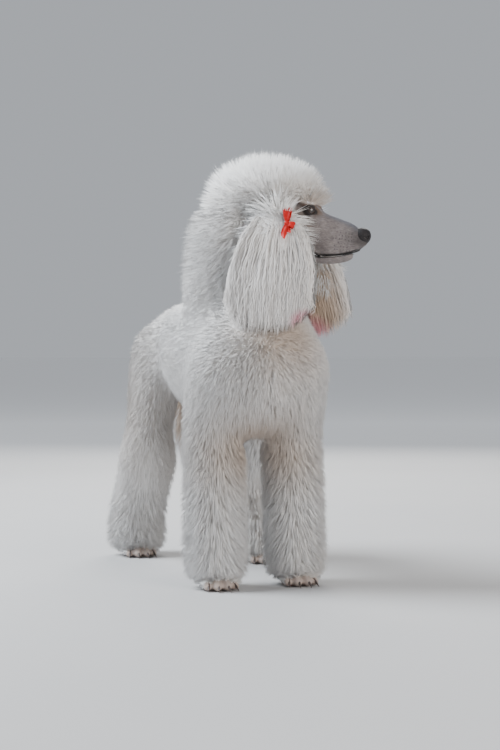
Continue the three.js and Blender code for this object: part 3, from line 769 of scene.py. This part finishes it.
def comb(scatter, count, curls, chance, steps, width, reach):
    """Tufts over the whole skin: their paths, radii and everything that is painted on them."""
    roots, normals = scatter(count, chance)
    coat, style, lie, form, share, turn = coat_field(roots)
    lean, gather, curl = style[:, 0], style[:, 3], style[:, 4]
    flow = flow_of(lie, style, normals)
    flow /= np.maximum(np.linalg.norm(flow, axis=1, keepdims=True), 0.35)
    shy = bareness(roots + normals * 0.02 + flow * 0.014)
    stray = chance.random(count) < 0.06
    low = smoothstep(60 * MM, 12 * MM, roots[:, 2])
    height = coat * chance.normal(1.0, 0.06, count) * (1 - 0.72 * shy) * (1 - 0.6 * low)
    height *= np.where(stray, 1.1, 1.0) * reach
    tips = roots + normals * height[:, None] + flow * (height * lean)[:, None]

    # Tips gather towards the middle of the curl that they grow in.
    curl_roots, curl_tips = curls
    near = nearest_of(roots, curl_roots)
    tight = np.where(stray, 0.1, gather * chance.uniform(0.5, 1.2, count)) * (1 - 0.5 * shy)
    middle_of_curl = curl_tips[near] - curl_roots[near]
    length = np.linalg.norm(middle_of_curl, axis=1)
    as_long = height * np.sqrt(1 + lean ** 2) / np.maximum(length, 1e-4)
    aim = curl_roots[near] + middle_of_curl * as_long[:, None]
    tips += (aim - tips) * tight[:, None]
    tips += unit(chance.normal(size=tips.shape)) * (curl * chance.random(count) * MM)[:, None]

    tips = above_floor(roots, kept_under(tips, roots))
    kept = np.minimum(np.linalg.norm(tips - roots, axis=1) / (height + 1e-4), 1)
    height = height * (0.35 + 0.65 * kept)
    middle = roots + normals * (height * 0.68)[:, None] + flow * (height * lean * 0.22)[:, None]
    middle += (aim - tips) * 0.1
    sway = (near * GOLDEN_ANGLE) % (2 * math.pi) + chance.normal(0, 0.5, count)
    first = unit(np.cross(normals, flow + 1e-3))
    second = np.cross(normals, first)
    middle += (first * np.cos(sway)[:, None] + second * np.sin(sway)[:, None]) * (curl * 1.3 * MM)[:, None]
    sunk = roots - normals * 2 * MM
    t = np.linspace(0, 1, steps)[None, :, None]
    paths = (1 - t) ** 2 * sunk[:, None] + 2 * t * (1 - t) * middle[:, None] + t ** 2 * tips[:, None]
    paths[:, 1:] = kept_under(paths[:, 1:], roots)
    paths[:, :, 2] = np.maximum(paths[:, :, 2], FLOOR_CLEAR)
    radii = width * MM * chance.uniform(0.75, 1.2, count) * np.where(stray, 0.7, 1.0) * (1 - 0.4 * shy)
    # Each tuft carries the beige of the spot it grows in: partly a cream stain, partly painted shade.
    paints = {"shade": np.clip(chance.normal(0.5, 0.2, count), 0, 1), "cream_and_shade": cream_stain_and_shade(roots),
              "stain": stain_near(roots)}
    return {"paths": paths, "radii": radii, "upright": unit(normals + flow * 0.15),
            "places": unwrap_place(form, share, turn), "paints": paints, "form": form, "roots": roots}


TUFT_PROFILE = np.array([0.9, 0.95, 0.0])
WISP_PROFILE = np.array([1.0, 0.0])


def build_coat(skin):
    chance = np.random.default_rng(11)
    scatter, area = skin_sampler(skin.data)
    curl_roots, curl_normals = scatter(int(area / CURL_PITCH ** 2), chance)
    coat, style, lie = coat_field(curl_roots)[:3]
    flow = flow_of(lie, style, curl_normals)
    curl_tips = curl_roots + curl_normals * coat[:, None] + flow * (coat * style[:, 0])[:, None]
    curl_tips += unit(chance.normal(size=curl_tips.shape)) * (style[:, 4:5] * 1.6 * MM)
    curls = (curl_roots, curl_tips)
    tufts = comb(scatter, TUFT_COUNT, curls, chance, 3, 1.1, 1.0)
    wisps = comb(scatter, WISP_COUNT, curls, chance, 2, 1.0, 0.98)
    return [tuft_mesh(name, [batch(tufts, TUFT_PROFILE, name), batch(wisps, WISP_PROFILE, name)])
            for name in COAT_PIECES]


# The coat is kept in pieces, each one a part of the body. The largest forms are cut into several:
# the form, the axis that the cuts stand across, and where the piece starts and ends along it.
CHEST_END, BACK_END, NECK_MIDDLE = START.y + 0.150, START.y + 0.345, 0.70
CUTS = {
    "neck": ("neck", 2, 0, NECK_MIDDLE), "crest": ("neck", 2, NECK_MIDDLE, 2),
    "chest": ("torso", 1, -2, CHEST_END), "back": ("torso", 1, CHEST_END, BACK_END),
    "rump": ("torso", 1, BACK_END, 2),
}
COAT_PIECES = ["coat_" + name for name in FORM_NAMES if name not in ("torso", "neck")]
COAT_PIECES += ["coat_" + name for name in CUTS]


def batch(tufts, profile, piece):
    part = piece.removeprefix("coat_")
    form, axis, low, high = CUTS.get(part, (part, 2, -2, 2))
    place = tufts["roots"][:, axis]
    chosen = (tufts["form"] == FORM_NAMES.index(form)) & (place >= low) & (place < high)
    return (tufts["paths"][chosen], tufts["radii"][chosen], profile, tufts["upright"][chosen],
            tufts["places"][chosen], {key: values[chosen] for key, values in tufts["paints"].items()})


def stain_near(points):
    """Rusty tear stains in the hair round the eyes."""
    left, forward, up = to_head(points).T
    return smoothstep(27, 8, np.hypot(forward - 76, (up - 30) * 0.9)) * (np.abs(left) > 14) * 0.8


# Ears: long wavy hair hanging in a fan from the flap.
EAR_STEPS = np.array([0.0, 0.2, 0.42, 0.63, 0.83, 1.0])
EAR_PROFILE = np.array([0.7, 1.0, 1.0, 0.85, 0.6, 0.0])
EAR_COUNT = int(5200 * DENSITY)
EAR_LOCKS = 56


def ear_point(name, out, forward, up):
    local = np.column_stack([SIDES[name] * out, -swung(name, forward, up), up]) * MM
    return local @ np.array(HANG.to_3x3()).T + np.array(HANG.translation)


def build_ear_hair(name, chance):
    count = EAR_COUNT
    fan = chance.uniform(-1, 1, count)
    layer = chance.uniform(-1, 1, count)
    start_up = EAR_ROOT + 6 - 186 * chance.random(count) ** 1.15
    row = np.array(EAR_ROWS, float)[::-1]
    out, forward, half, thick = (np.interp(start_up, row[:, 0], row[:, k]) for k in (1, 2, 3, 4))
    start = ear_point(name, out + layer * thick, forward + fan * half * 0.92, start_up)
    # Hairs of one lock share a place across the fan, so their ends gather.
    lock = np.clip(np.round((fan + 1) / 2 * EAR_LOCKS + chance.normal(0, 0.35, count)), 0, EAR_LOCKS)
    end_fan = fan + (lock / EAR_LOCKS * 2 - 1 - fan) * chance.uniform(0.05, 0.65, count)
    rise = chance.random(count)
    end_up = EAR_LOWEST[name] + 50 * np.abs(end_fan) ** 2.4 + np.sin(lock * 2.4) * 10 + 78 * rise ** 1.9
    end_up = np.minimum(end_up, start_up - 45)
    fall = (EAR_ROOT - end_up) / (EAR_ROOT - EAR_LOWEST[name])
    end_half = EAR_BOTTOM["half"] * (0.55 + 0.45 * fall)
    end_out = EAR_BOTTOM["out"] + layer * EAR_BOTTOM["thick"] * (1 - 0.3 * np.abs(end_fan))
    end_forward = EAR_BOTTOM["forward"] + end_fan * end_half
    end = ear_point(name, end_out, end_forward, end_up)
    # The hair spreads soon below its root and then hangs.
    belly = 1.12 + EAR_BELLY[name] * np.maximum(end_fan, 0)
    spread_forward = EAR_BOTTOM["forward"] + end_fan * end_half * belly
    middle_forward = (forward + fan * half) * 0.12 + spread_forward * 0.88
    middle_out = out * 0.35 + end_out * 0.65 + 15 * layer
    middle = ear_point(name, middle_out, middle_forward, start_up * 0.6 + end_up * 0.4)
    t = EAR_STEPS[None, :, None]
    paths = (1 - t) ** 2 * start[:, None] + 2 * t * (1 - t) * middle[:, None] + t ** 2 * end[:, None]
    turn = np.array(HANG.to_3x3())
    phase = lock * 1.9 + chance.normal(0, 1.0, count)
    waves = 2.0 + 0.6 * np.sin(lock * 3.1) + chance.normal(0, 0.2, count)
    angle = phase[:, None] + waves[:, None] * EAR_STEPS[None] * 2 * math.pi
    amount = np.minimum(EAR_STEPS * 2.5, 1)[None] * chance.uniform(1.8, 4.8, count)[:, None] * MM
    along_ear, across_ear = np.sin(angle) * amount, np.cos(angle) * amount * 0.6
    paths += along_ear[:, :, None] * turn[:, 1] + across_ear[:, :, None] * turn[:, 0]
    paths = kept_under(paths)
    radii = chance.uniform(0.6, 1.0, count) * MM
    facing = np.where(layer > 0, 1.0, -1.0)[:, None] * SIDES[name] * turn[:, 0][None]
    spread = turn[:, 1][None] * (-end_fan * 0.6)[:, None]
    upright = unit(facing + spread + np.array([0, 0, 0.15]))
    tile = len(FORM_NAMES) + (0 if name == "right" else 1)
    places = unwrap_place(np.full(count, tile), (EAR_ROOT + 6 - start_up) / 190,
                          (fan * 0.45 + 0.5) * 0.5 + (layer > 0) * 0.5)
    # Painted shade: the middle of each ear's inner face is painted beige, and the rest of the ear a little.
    inner = smoothstep(0.3, -0.5, layer) * (1 - np.abs(fan) ** 4)
    paints = {"shade": np.clip(chance.normal(0.5, 0.2, count), 0, 1), "cream_and_shade": 0.16 + 0.84 * inner,
              "stain": np.zeros(count)}
    return tuft_mesh("ear_hair_" + name, [(paths, radii, EAR_PROFILE, upright, places, paints)])


# Materials.
def new_material(name):
    material = bpy.data.materials.new(name)
    material.use_nodes = True
    return material, material.node_tree, material.node_tree.nodes["Principled BSDF"]


def node(tree, kind, **inputs):
    made = tree.nodes.new(kind)
    for key, value in inputs.items():
        if hasattr(made, key):
            setattr(made, key, value)
        else:
            made.inputs[key.replace("_", " ")].default_value = value
    return made


def object_coords(tree):
    return tree.nodes.new("ShaderNodeTexCoord").outputs["Object"]


def attribute(tree, name):
    return node(tree, "ShaderNodeAttribute", attribute_name=name).outputs["Fac"]


def mixed(tree, factor, a, b):
    """A colour between a and b. Each may be a colour or a socket, and factor a socket or number."""
    mix = tree.nodes.new("ShaderNodeMix")
    mix.data_type = "RGBA"
    for socket, value in ((mix.inputs["Factor"], factor), (mix.inputs["A"], a), (mix.inputs["B"], b)):
        if isinstance(value, bpy.types.NodeSocket):
            tree.links.new(value, socket)
        elif isinstance(value, tuple):
            socket.default_value = (*value, 1)
        else:
            socket.default_value = value
    return mix.outputs["Result"]


def mapped(tree, value, low, high, to_low=0.0, to_high=1.0):
    made = tree.nodes.new("ShaderNodeMapRange")
    tree.links.new(value, made.inputs["Value"])
    for key, number in zip(("From Min", "From Max", "To Min", "To Max"), (low, high, to_low, to_high)):
        made.inputs[key].default_value = number
    return made.outputs["Result"]


def noise(tree, scale, detail=3.0, rough=0.55):
    made = node(tree, "ShaderNodeTexNoise", Scale=scale, Detail=detail, Roughness=rough)
    tree.links.new(object_coords(tree), made.inputs["Vector"])
    return made.outputs["Fac"]


def bump(tree, shader, height, strength, distance):
    made = node(tree, "ShaderNodeBump", Strength=strength, Distance=distance)
    tree.links.new(height, made.inputs["Height"])
    tree.links.new(made.outputs["Normal"], shader.inputs["Normal"])


WHITE = (0.945, 0.94, 0.935)
# Cream is a random tone in the coat and, at the roots, painted shade.
CREAM = (0.84, 0.79, 0.73)
# Beige stands partly for a cream stain and partly for painted shade.
BEIGE = (0.60, 0.46, 0.35)
RUST = (0.26, 0.175, 0.115)
PINK = (0.80, 0.30, 0.38)


def far_from(tree, place, radius):
    """0 at a place and 1 beyond a radius round it."""
    gap = node(tree, "ShaderNodeVectorMath", operation="DISTANCE")
    tree.links.new(object_coords(tree), gap.inputs[0])
    gap.inputs[1].default_value = place
    return mapped(tree, gap.outputs["Value"], radius * 0.45, radius)


def coat_material(name, rosy_places=()):
    material, tree, shader = new_material(name)
    colour = mixed(tree, mapped(tree, attribute(tree, "shade"), 0.3, 1.0, 0.0, 0.5), WHITE, CREAM)
    patches = mapped(tree, noise(tree, 9.0), 0.45, 0.75, 0.0, 0.3)
    colour = mixed(tree, patches, colour, CREAM)
    # The roots are painted cream: painted shade deep in the coat.
    colour = mixed(tree, mapped(tree, attribute(tree, "along"), 0.0, 0.6, 0.7, 0.0), colour, CREAM)
    # Beige is painted where the coat is stained cream and where shade falls under the ears, between the legs
    # and on the tail.
    colour = mixed(tree, attribute(tree, "cream_and_shade"), colour, BEIGE)
    colour = mixed(tree, mapped(tree, attribute(tree, "stain"), 0.0, 1.0, 0.0, 0.8), colour, RUST)
    for place, radius in rosy_places:
        near = mapped(tree, far_from(tree, place, radius), 0.0, 1.0, 0.9, 0.0)
        colour = mixed(tree, near, colour, PINK)
    tree.links.new(colour, shader.inputs["Base Color"])
    shader.inputs["Roughness"].default_value = 0.75
    shader.inputs["Specular IOR Level"].default_value = 0.2
    shader.inputs["Sheen Weight"].default_value = 0.3
    shader.inputs["Sheen Roughness"].default_value = 0.5
    return material


def head_grid(tree, ahead_pitch, above_pitch):
    """Places along and up the head, counted in steps of the two pitches."""
    grid = tree.nodes.new("ShaderNodeCombineXYZ")
    for axis, name, pitch in (("X", "ahead", ahead_pitch), ("Y", "above", above_pitch)):
        scaled = node(tree, "ShaderNodeMath", operation="DIVIDE")
        tree.links.new(attribute(tree, name), scaled.inputs[0])
        scaled.inputs[1].default_value = pitch
        tree.links.new(scaled.outputs["Value"], grid.inputs[axis])
    return grid.outputs["Vector"]


def skin_material():
    material, tree, shader = new_material("clipped_skin")
    bare = attribute(tree, "bare")
    mottle = mapped(tree, noise(tree, 70.0, 5.0, 0.7), 0.35, 0.68)
    face = mixed(tree, mottle, (0.155, 0.132, 0.131), (0.255, 0.222, 0.214))
    # Short hairs lie back along the face.
    lie = head_grid(tree, 1 / 130, 1 / 620)
    hairs = node(tree, "ShaderNodeTexNoise", Scale=1.0, Detail=4.0, Roughness=0.6)
    tree.links.new(lie, hairs.inputs["Vector"])
    stubble = mapped(tree, hairs.outputs["Fac"], 0.42, 0.68, 0.0, 0.5)
    face = mixed(tree, stubble, face, (0.42, 0.38, 0.365))
    # The top of the muzzle is painted a cool, darker grey as painted shade.
    face = mixed(tree, attribute(tree, "bridge"), face, (0.165, 0.17, 0.20))
    # Whisker spots stand in rows along the lip.
    spots = node(tree, "ShaderNodeTexVoronoi", Scale=1.0, Randomness=0.35)
    tree.links.new(head_grid(tree, 0.0062, 0.0072), spots.inputs["Vector"])
    dots = mapped(tree, spots.outputs["Distance"], 0.14, 0.34, 0.8, 0.0)
    whisker = node(tree, "ShaderNodeMath", operation="MULTIPLY")
    tree.links.new(dots, whisker.inputs[0])
    tree.links.new(attribute(tree, "whisker"), whisker.inputs[1])
    face = mixed(tree, whisker.outputs["Value"], face, (0.09, 0.075, 0.08))
    face = mixed(tree, attribute(tree, "tear"), face, (0.165, 0.120, 0.092))
    face = mixed(tree, attribute(tree, "dark"), face, (0.022, 0.018, 0.018))
    face = mixed(tree, attribute(tree, "toe"), face, (0.50, 0.41, 0.36))
    # Skin under the coat: white, with the same cream stain and painted shade as the coat.
    covered = mixed(tree, attribute(tree, "cream_and_shade"), WHITE, BEIGE)
    colour = mixed(tree, bare, covered, face)
    tree.links.new(colour, shader.inputs["Base Color"])
    shader.inputs["Roughness"].default_value = 0.72
    shader.inputs["Subsurface Weight"].default_value = 0.06
    shader.inputs["Subsurface Radius"].default_value = (0.004, 0.002, 0.001)
    shader.inputs["Subsurface Scale"].default_value = 1.0
    bump(tree, shader, noise(tree, 420.0, 5.0, 0.65), 0.55, 0.0012)
    return material


def eye_material():
    material, tree, shader = new_material("dark_eye")
    ring = mapped(tree, attribute(tree, "iris"), 0.0, 1.0)
    fleck = noise(tree, 900.0)
    iris = mixed(tree, fleck, (0.020, 0.009, 0.005), (0.050, 0.022, 0.010))
    colour = mixed(tree, ring, iris, (0.006, 0.004, 0.004))
    tree.links.new(colour, shader.inputs["Base Color"])
    shader.inputs["Roughness"].default_value = 0.06
    shader.inputs["Coat Weight"].default_value = 1.0
    shader.inputs["Coat Roughness"].default_value = 0.02
    return material


def nose_material():
    material, tree, shader = new_material("nose_leather")
    cells = node(tree, "ShaderNodeTexVoronoi", Scale=620.0)
    tree.links.new(object_coords(tree), cells.inputs["Vector"])
    tone = mapped(tree, cells.outputs["Distance"], 0.1, 0.6)
    colour = mixed(tree, tone, (0.045, 0.038, 0.040), (0.014, 0.012, 0.013))
    tree.links.new(colour, shader.inputs["Base Color"])
    shader.inputs["Roughness"].default_value = 0.58
    shader.inputs["Specular IOR Level"].default_value = 0.3
    bump(tree, shader, cells.outputs["Distance"], 0.6, 0.0007)
    return material


def claw_material():
    material, tree, shader = new_material("claw_horn")
    streak = noise(tree, 260.0, 3.0)
    colour = mixed(tree, mapped(tree, streak, 0.35, 0.65), (0.040, 0.030, 0.028), (0.12, 0.09, 0.08))
    tree.links.new(colour, shader.inputs["Base Color"])
    shader.inputs["Roughness"].default_value = 0.38
    bump(tree, shader, streak, 0.2, 0.0004)
    return material


def ribbon_material():
    material, tree, shader = new_material("red_satin")
    weave = node(tree, "ShaderNodeTexWave", Scale=700.0, Distortion=0.6)
    tree.links.new(object_coords(tree), weave.inputs["Vector"])
    colour = mixed(tree, weave.outputs["Fac"], (0.62, 0.004, 0.002), (0.46, 0.002, 0.001))
    tree.links.new(colour, shader.inputs["Base Color"])
    shader.inputs["Roughness"].default_value = 0.5
    shader.inputs["Specular IOR Level"].default_value = 0.3
    bump(tree, shader, weave.outputs["Fac"], 0.12, 0.0003)
    return material


def floor_material():
    material, tree, shader = new_material("pale_floor")
    colour = mixed(tree, noise(tree, 3.0, 4.0), (0.50, 0.50, 0.505), (0.53, 0.525, 0.52))
    # It pales with distance, as a studio's sweep does.
    distance = far_from(tree, (0.0, 0.0, 0.0), 7.0)
    colour = mixed(tree, distance, colour, (0.97, 0.97, 0.97))
    tree.links.new(colour, shader.inputs["Base Color"])
    shader.inputs["Roughness"].default_value = 0.9
    shader.inputs["Specular IOR Level"].default_value = 0.1
    return material


def give(piece, material, replaced=()):
    piece.data.materials.clear()
    piece.data.materials.append(material)
    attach(piece, "root")
    if replaced:
        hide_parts(*replaced)


# Eyes: a ball with a raised cornea over a dark iris.
def build_eye(name):
    side = SIDES[name]
    eye = ball("eyeball_" + name, Vector(), (1, 1, 1), None, 48)
    points = points_of(eye.data)
    gaze = Vector((math.sin(side * GAZE_OUT), -math.cos(side * GAZE_OUT), 0.02)).normalized()
    facing = points @ np.array(gaze)
    lift = smoothstep(0.72, 0.93, facing)
    paint(eye.data, "iris", smoothstep(0.955, 0.975, facing) + 1 - smoothstep(0.78, 0.80, facing))
    set_points(eye.data, points * ((EYE_RADIUS - 0.15) * MM * (1 + 0.07 * lift))[:, None])
    place_all(eye, HEAD @ eye_place(side))
    work_on(eye)
    bpy.ops.object.shade_smooth()
    return eye


def build_nose():
    """The nose leather, with two comma-shaped nostrils and a groove down its middle."""
    nose = ball("nose_leather", Vector(), (1, 1, 1), None, 96)
    points = points_of(nose.data)
    x, y, z = points.T  # left, back, up
    front = smoothstep(0.1, 0.75, -y)
    squared = 1 + 0.10 * np.abs(x) ** 3
    hollow = np.zeros(len(points))
    for side in SIDES.values():
        hole = np.hypot((x - side * 0.46) / 0.20, (z + 0.02) / 0.24)
        slit = np.hypot((x - side * 0.74) / 0.26, (z + 0.20 - 0.28 * (np.abs(x) - 0.74)) / 0.10)
        hollow += smoothstep(1.15, 0.35, hole) * smoothstep(0.15, 0.5, -y)
        hollow += 0.55 * smoothstep(1.2, 0.4, slit) * smoothstep(-0.15, 0.3, -y)
    groove = smoothstep(0.10, 0.0, np.abs(x)) * smoothstep(0.35, -0.15, z) * front
    wing = sum(np.exp(-((x - side * 0.62) ** 2 / 0.03 + (z - 0.16) ** 2 / 0.03)) for side in SIDES.values())
    size = squared * (1 - 0.34 * np.clip(hollow, 0, 1) - 0.07 * groove + 0.04 * wing * front)
    shape = points * size[:, None]
    shape[:, 2] = np.where(shape[:, 2] > 0.7, 0.7 + (shape[:, 2] - 0.7) * 0.7, shape[:, 2])
    set_points(nose.data, shape * np.array([18.5, 17.5, 18.5]) * MM)
    place_all(nose, HEAD @ Matrix.Translation(Vector((0, -191, -13.5)) * MM))
    work_on(nose)
    bpy.ops.object.shade_smooth()
    return nose


def build_bow(name):
    """A small satin bow: two pinched loops, a knot, and two pointed ends."""
    side = SIDES[name]
    parts = []

    def ribbon(centre_line, widths, thick=0.5):
        rows, columns = len(centre_line), 7
        mesh = bpy.data.meshes.new("ribbon")
        points, faces = [], []
        for i, (x, y, z) in enumerate(centre_line):
            a, b = centre_line[max(i - 1, 0)], centre_line[min(i + 1, rows - 1)]
            along = Vector((b[0] - a[0], 0, b[2] - a[2])).normalized()
            across = Vector((-along.z, 0, along.x))
            for k in range(columns):
                t = k / (columns - 1) * 2 - 1
                ripple = 0.8 * math.cos(t * 4.2 + i * 0.5)
                spot = Vector((x, y + ripple, z)) + across * t * widths[i]
                points.append(spot * MM)
        for i in range(rows - 1):
            for k in range(columns - 1):
                a = i * columns + k
                faces.append((a, a + 1, a + columns + 1, a + columns))
        mesh.from_pydata([tuple(p) for p in points], [], faces)
        piece = clean_object("ribbon", mesh)
        apply_modifier(piece, "SOLIDIFY", thickness=thick * MM, offset=0.0)
        apply_modifier(piece, "SUBSURF", levels=1, render_levels=1)
        parts.append(piece)

    def loop(angle, size, half):
        line, widths = [], []
        for i in range(15):
            t = i / 14
            swing = math.sin(math.pi * t)
            reach = size * swing ** 0.8
            depth = -7 * math.cos(math.pi * t) * swing ** 0.35 - 2
            line.append((reach * math.sin(angle), depth, reach * math.cos(angle)))
            widths.append(2.2 + (half - 2.2) * swing ** 0.55)
        ribbon(line, widths)

    def end(angle, size, half):
        line, widths = [], []
        for i in range(10):
            t = i / 9
            turn = angle + 0.12 * math.sin(t * 4)
            line.append((size * t * math.sin(turn), -3 - 1.6 * math.sin(t * 7), size * t * math.cos(turn)))
            widths.append(2.4 + (half - 2.4) * min(1, t * 1.8) if t < 0.7 else max(0.3, half * (1 - t) / 0.3))
        ribbon(line, widths)

    loop(math.radians(-4), 37, 10.5)
    loop(math.radians(108), 17, 8)
    end(math.radians(186), 36, 6.5)
    end(math.radians(158), 24, 5)
    knot = ball("knot", Vector((0, -4, 0)) * MM, Vector((5, 4.4, 6)) * MM, None, 24)
    parts.append(knot)
    bow = join_all(parts, "satin_bow_" + name)
    # The bow lies on the cheek: its width runs along the head and its depth points outwards.
    stand = Matrix.Rotation(side * math.pi / 2, 4, "Z")
    swing = Matrix.Rotation(side * BOW["tilt"], 4, "Y")
    spot = Matrix.Translation(Vector((side * BOW["left"], -BOW["forward"], BOW["up"])) * MM)
    place_all(bow, HANG @ spot @ swing @ stand)
    work_on(bow)
    bpy.ops.object.shade_smooth()
    return bow


CLAW = {"radius": 4.0, "length": 25, "drop": 6}


def build_claws(name):
    """Four curved claws of one paw, as separate pieces."""
    x, y = FEET[name]
    claws = []
    for i, (across, forward, radius) in enumerate(TOES):
        bpy.ops.mesh.primitive_cone_add(vertices=20, radius1=CLAW["radius"] * MM, radius2=0.5 * MM,
                                        depth=CLAW["length"] * MM)
        claw = bpy.context.object
        claw.name = "claw_horn_" + name + "_" + str(i + 1)
        bpy.ops.object.mode_set(mode="EDIT")
        bpy.ops.mesh.select_all(action="SELECT")
        bpy.ops.mesh.subdivide(number_cuts=3)
        bpy.ops.object.mode_set(mode="OBJECT")
        points = points_of(claw.data)
        share = points[:, 2] / (CLAW["length"] * MM) + 0.5
        bulge = 1 + 0.25 * np.sin(math.pi * share)
        points[:, 0] *= bulge * 0.85
        points[:, 1] = points[:, 1] * bulge - CLAW["drop"] * MM * share ** 2
        set_points(claw.data, points)
        turn = Matrix.Rotation(math.radians(across * 0.5), 4, "Z")
        forwards = Matrix.Rotation(math.radians(90 + 16), 4, "X")
        spot = START + Vector((x + across * 1.08, y - 12 - forward - radius * 1.75, 10.0)) * MM
        place_all(claw, Matrix.Translation(spot) @ turn @ forwards)
        bpy.ops.object.shade_smooth()
        claws.append(claw)
    return claws


# Camera, floor and lights.
CAMERA = {"turn": math.radians(-16), "distance": 3.666, "height": 0.508,
          "focal_px": 1771, "start_px": 255, "level_px": 340}
IMAGE = (500, 750)


def build_camera():
    data = bpy.data.cameras.new("camera")
    camera = clean_object("camera", data)
    data.sensor_fit = "VERTICAL"
    data.sensor_height = 36
    data.lens = CAMERA["focal_px"] * data.sensor_height / IMAGE[1]
    into = Vector((-math.sin(CAMERA["turn"]), math.cos(CAMERA["turn"]), 0))
    camera.location = Vector((START.x, START.y, CAMERA["height"])) - into * CAMERA["distance"]
    camera.rotation_euler = (math.radians(90), 0, CAMERA["turn"])
    data.shift_x = (IMAGE[0] / 2 - CAMERA["start_px"]) / IMAGE[1]
    data.shift_y = (CAMERA["level_px"] - IMAGE[1] / 2) / IMAGE[1]
    data.clip_end = 100
    bpy.context.scene.camera = camera


def build_stage():
    bpy.ops.mesh.primitive_plane_add(size=90, location=(0, 0, 0))
    floor = place_all(bpy.context.object)
    floor.name = "floor"
    floor.data.materials.append(floor_material())


def area_light(name, place, aim, size, power, colour):
    data = bpy.data.lights.new(name, "AREA")
    data.shape = "DISK"
    data.size = size
    data.energy = power
    data.color = colour
    lamp = clean_object(name, data)
    lamp.location = place
    lamp.rotation_euler = (Vector(aim) - Vector(place)).to_track_quat("-Z", "Y").to_euler()


def build_lights():
    middle = (0, 0, 0.5)
    area_light("key_light", (-2.8, 0.9, 3.8), middle, 3.0, 470, (0.90, 0.95, 1.0))
    area_light("fill_light", (1.4, -3.6, 1.5), middle, 2.6, 80, (1.0, 0.93, 0.86))
    area_light("rim_light", (1.2, 3.2, 2.4), middle, 2.4, 120, (1.0, 0.98, 0.95))
    world = bpy.data.worlds.new("studio")
    bpy.context.scene.world = world
    world.use_nodes = True
    sky = world.node_tree.nodes["Background"]
    sky.inputs["Color"].default_value = (0.80, 0.84, 0.90, 1)
    sky.inputs["Strength"].default_value = 0.56


FLESH = ["head", "topknot", "neck", "chest", "barrel", "tail", "ear_right", "ear_left"]
FLESH += [part + "_" + side for part in ("foreleg", "thigh", "shank") for side in SIDES]
FLESH += ["paw_" + foot for foot in FEET]


def build_dog():
    skin = build_skin()
    paint_skin(skin.data)
    give(skin, skin_material(), FLESH)
    white = coat_material("white_coat")
    rosy = [(tuple(ear_point("right", np.array([132.0]), np.array([95.0]), np.array([-225.0]))[0]), 0.035)]
    rosy_left = [(tuple(ear_point("left", np.array([132.0]), np.array([20.0]), np.array([-240.0]))[0]), 0.05)]
    for piece in build_coat(skin):
        give(piece, white)
    chance = np.random.default_rng(5)
    for name in SIDES:
        ear_coat = coat_material("ear_coat_" + name, rosy if name == "right" else rosy_left)
        give(build_ear_hair(name, chance), ear_coat)
        give(build_eye(name), eye_material(), ["eye_" + name])
        give(build_bow(name), ribbon_material(), ["bow_" + name])
    give(build_nose(), nose_material(), ["nose"])
    horn = claw_material()
    for name in FEET:
        for i, claw in enumerate(build_claws(name)):
            give(claw, horn, ["claw_" + name + "_" + str(i + 1)])


build_camera()
build_dog()
build_stage()
build_lights()
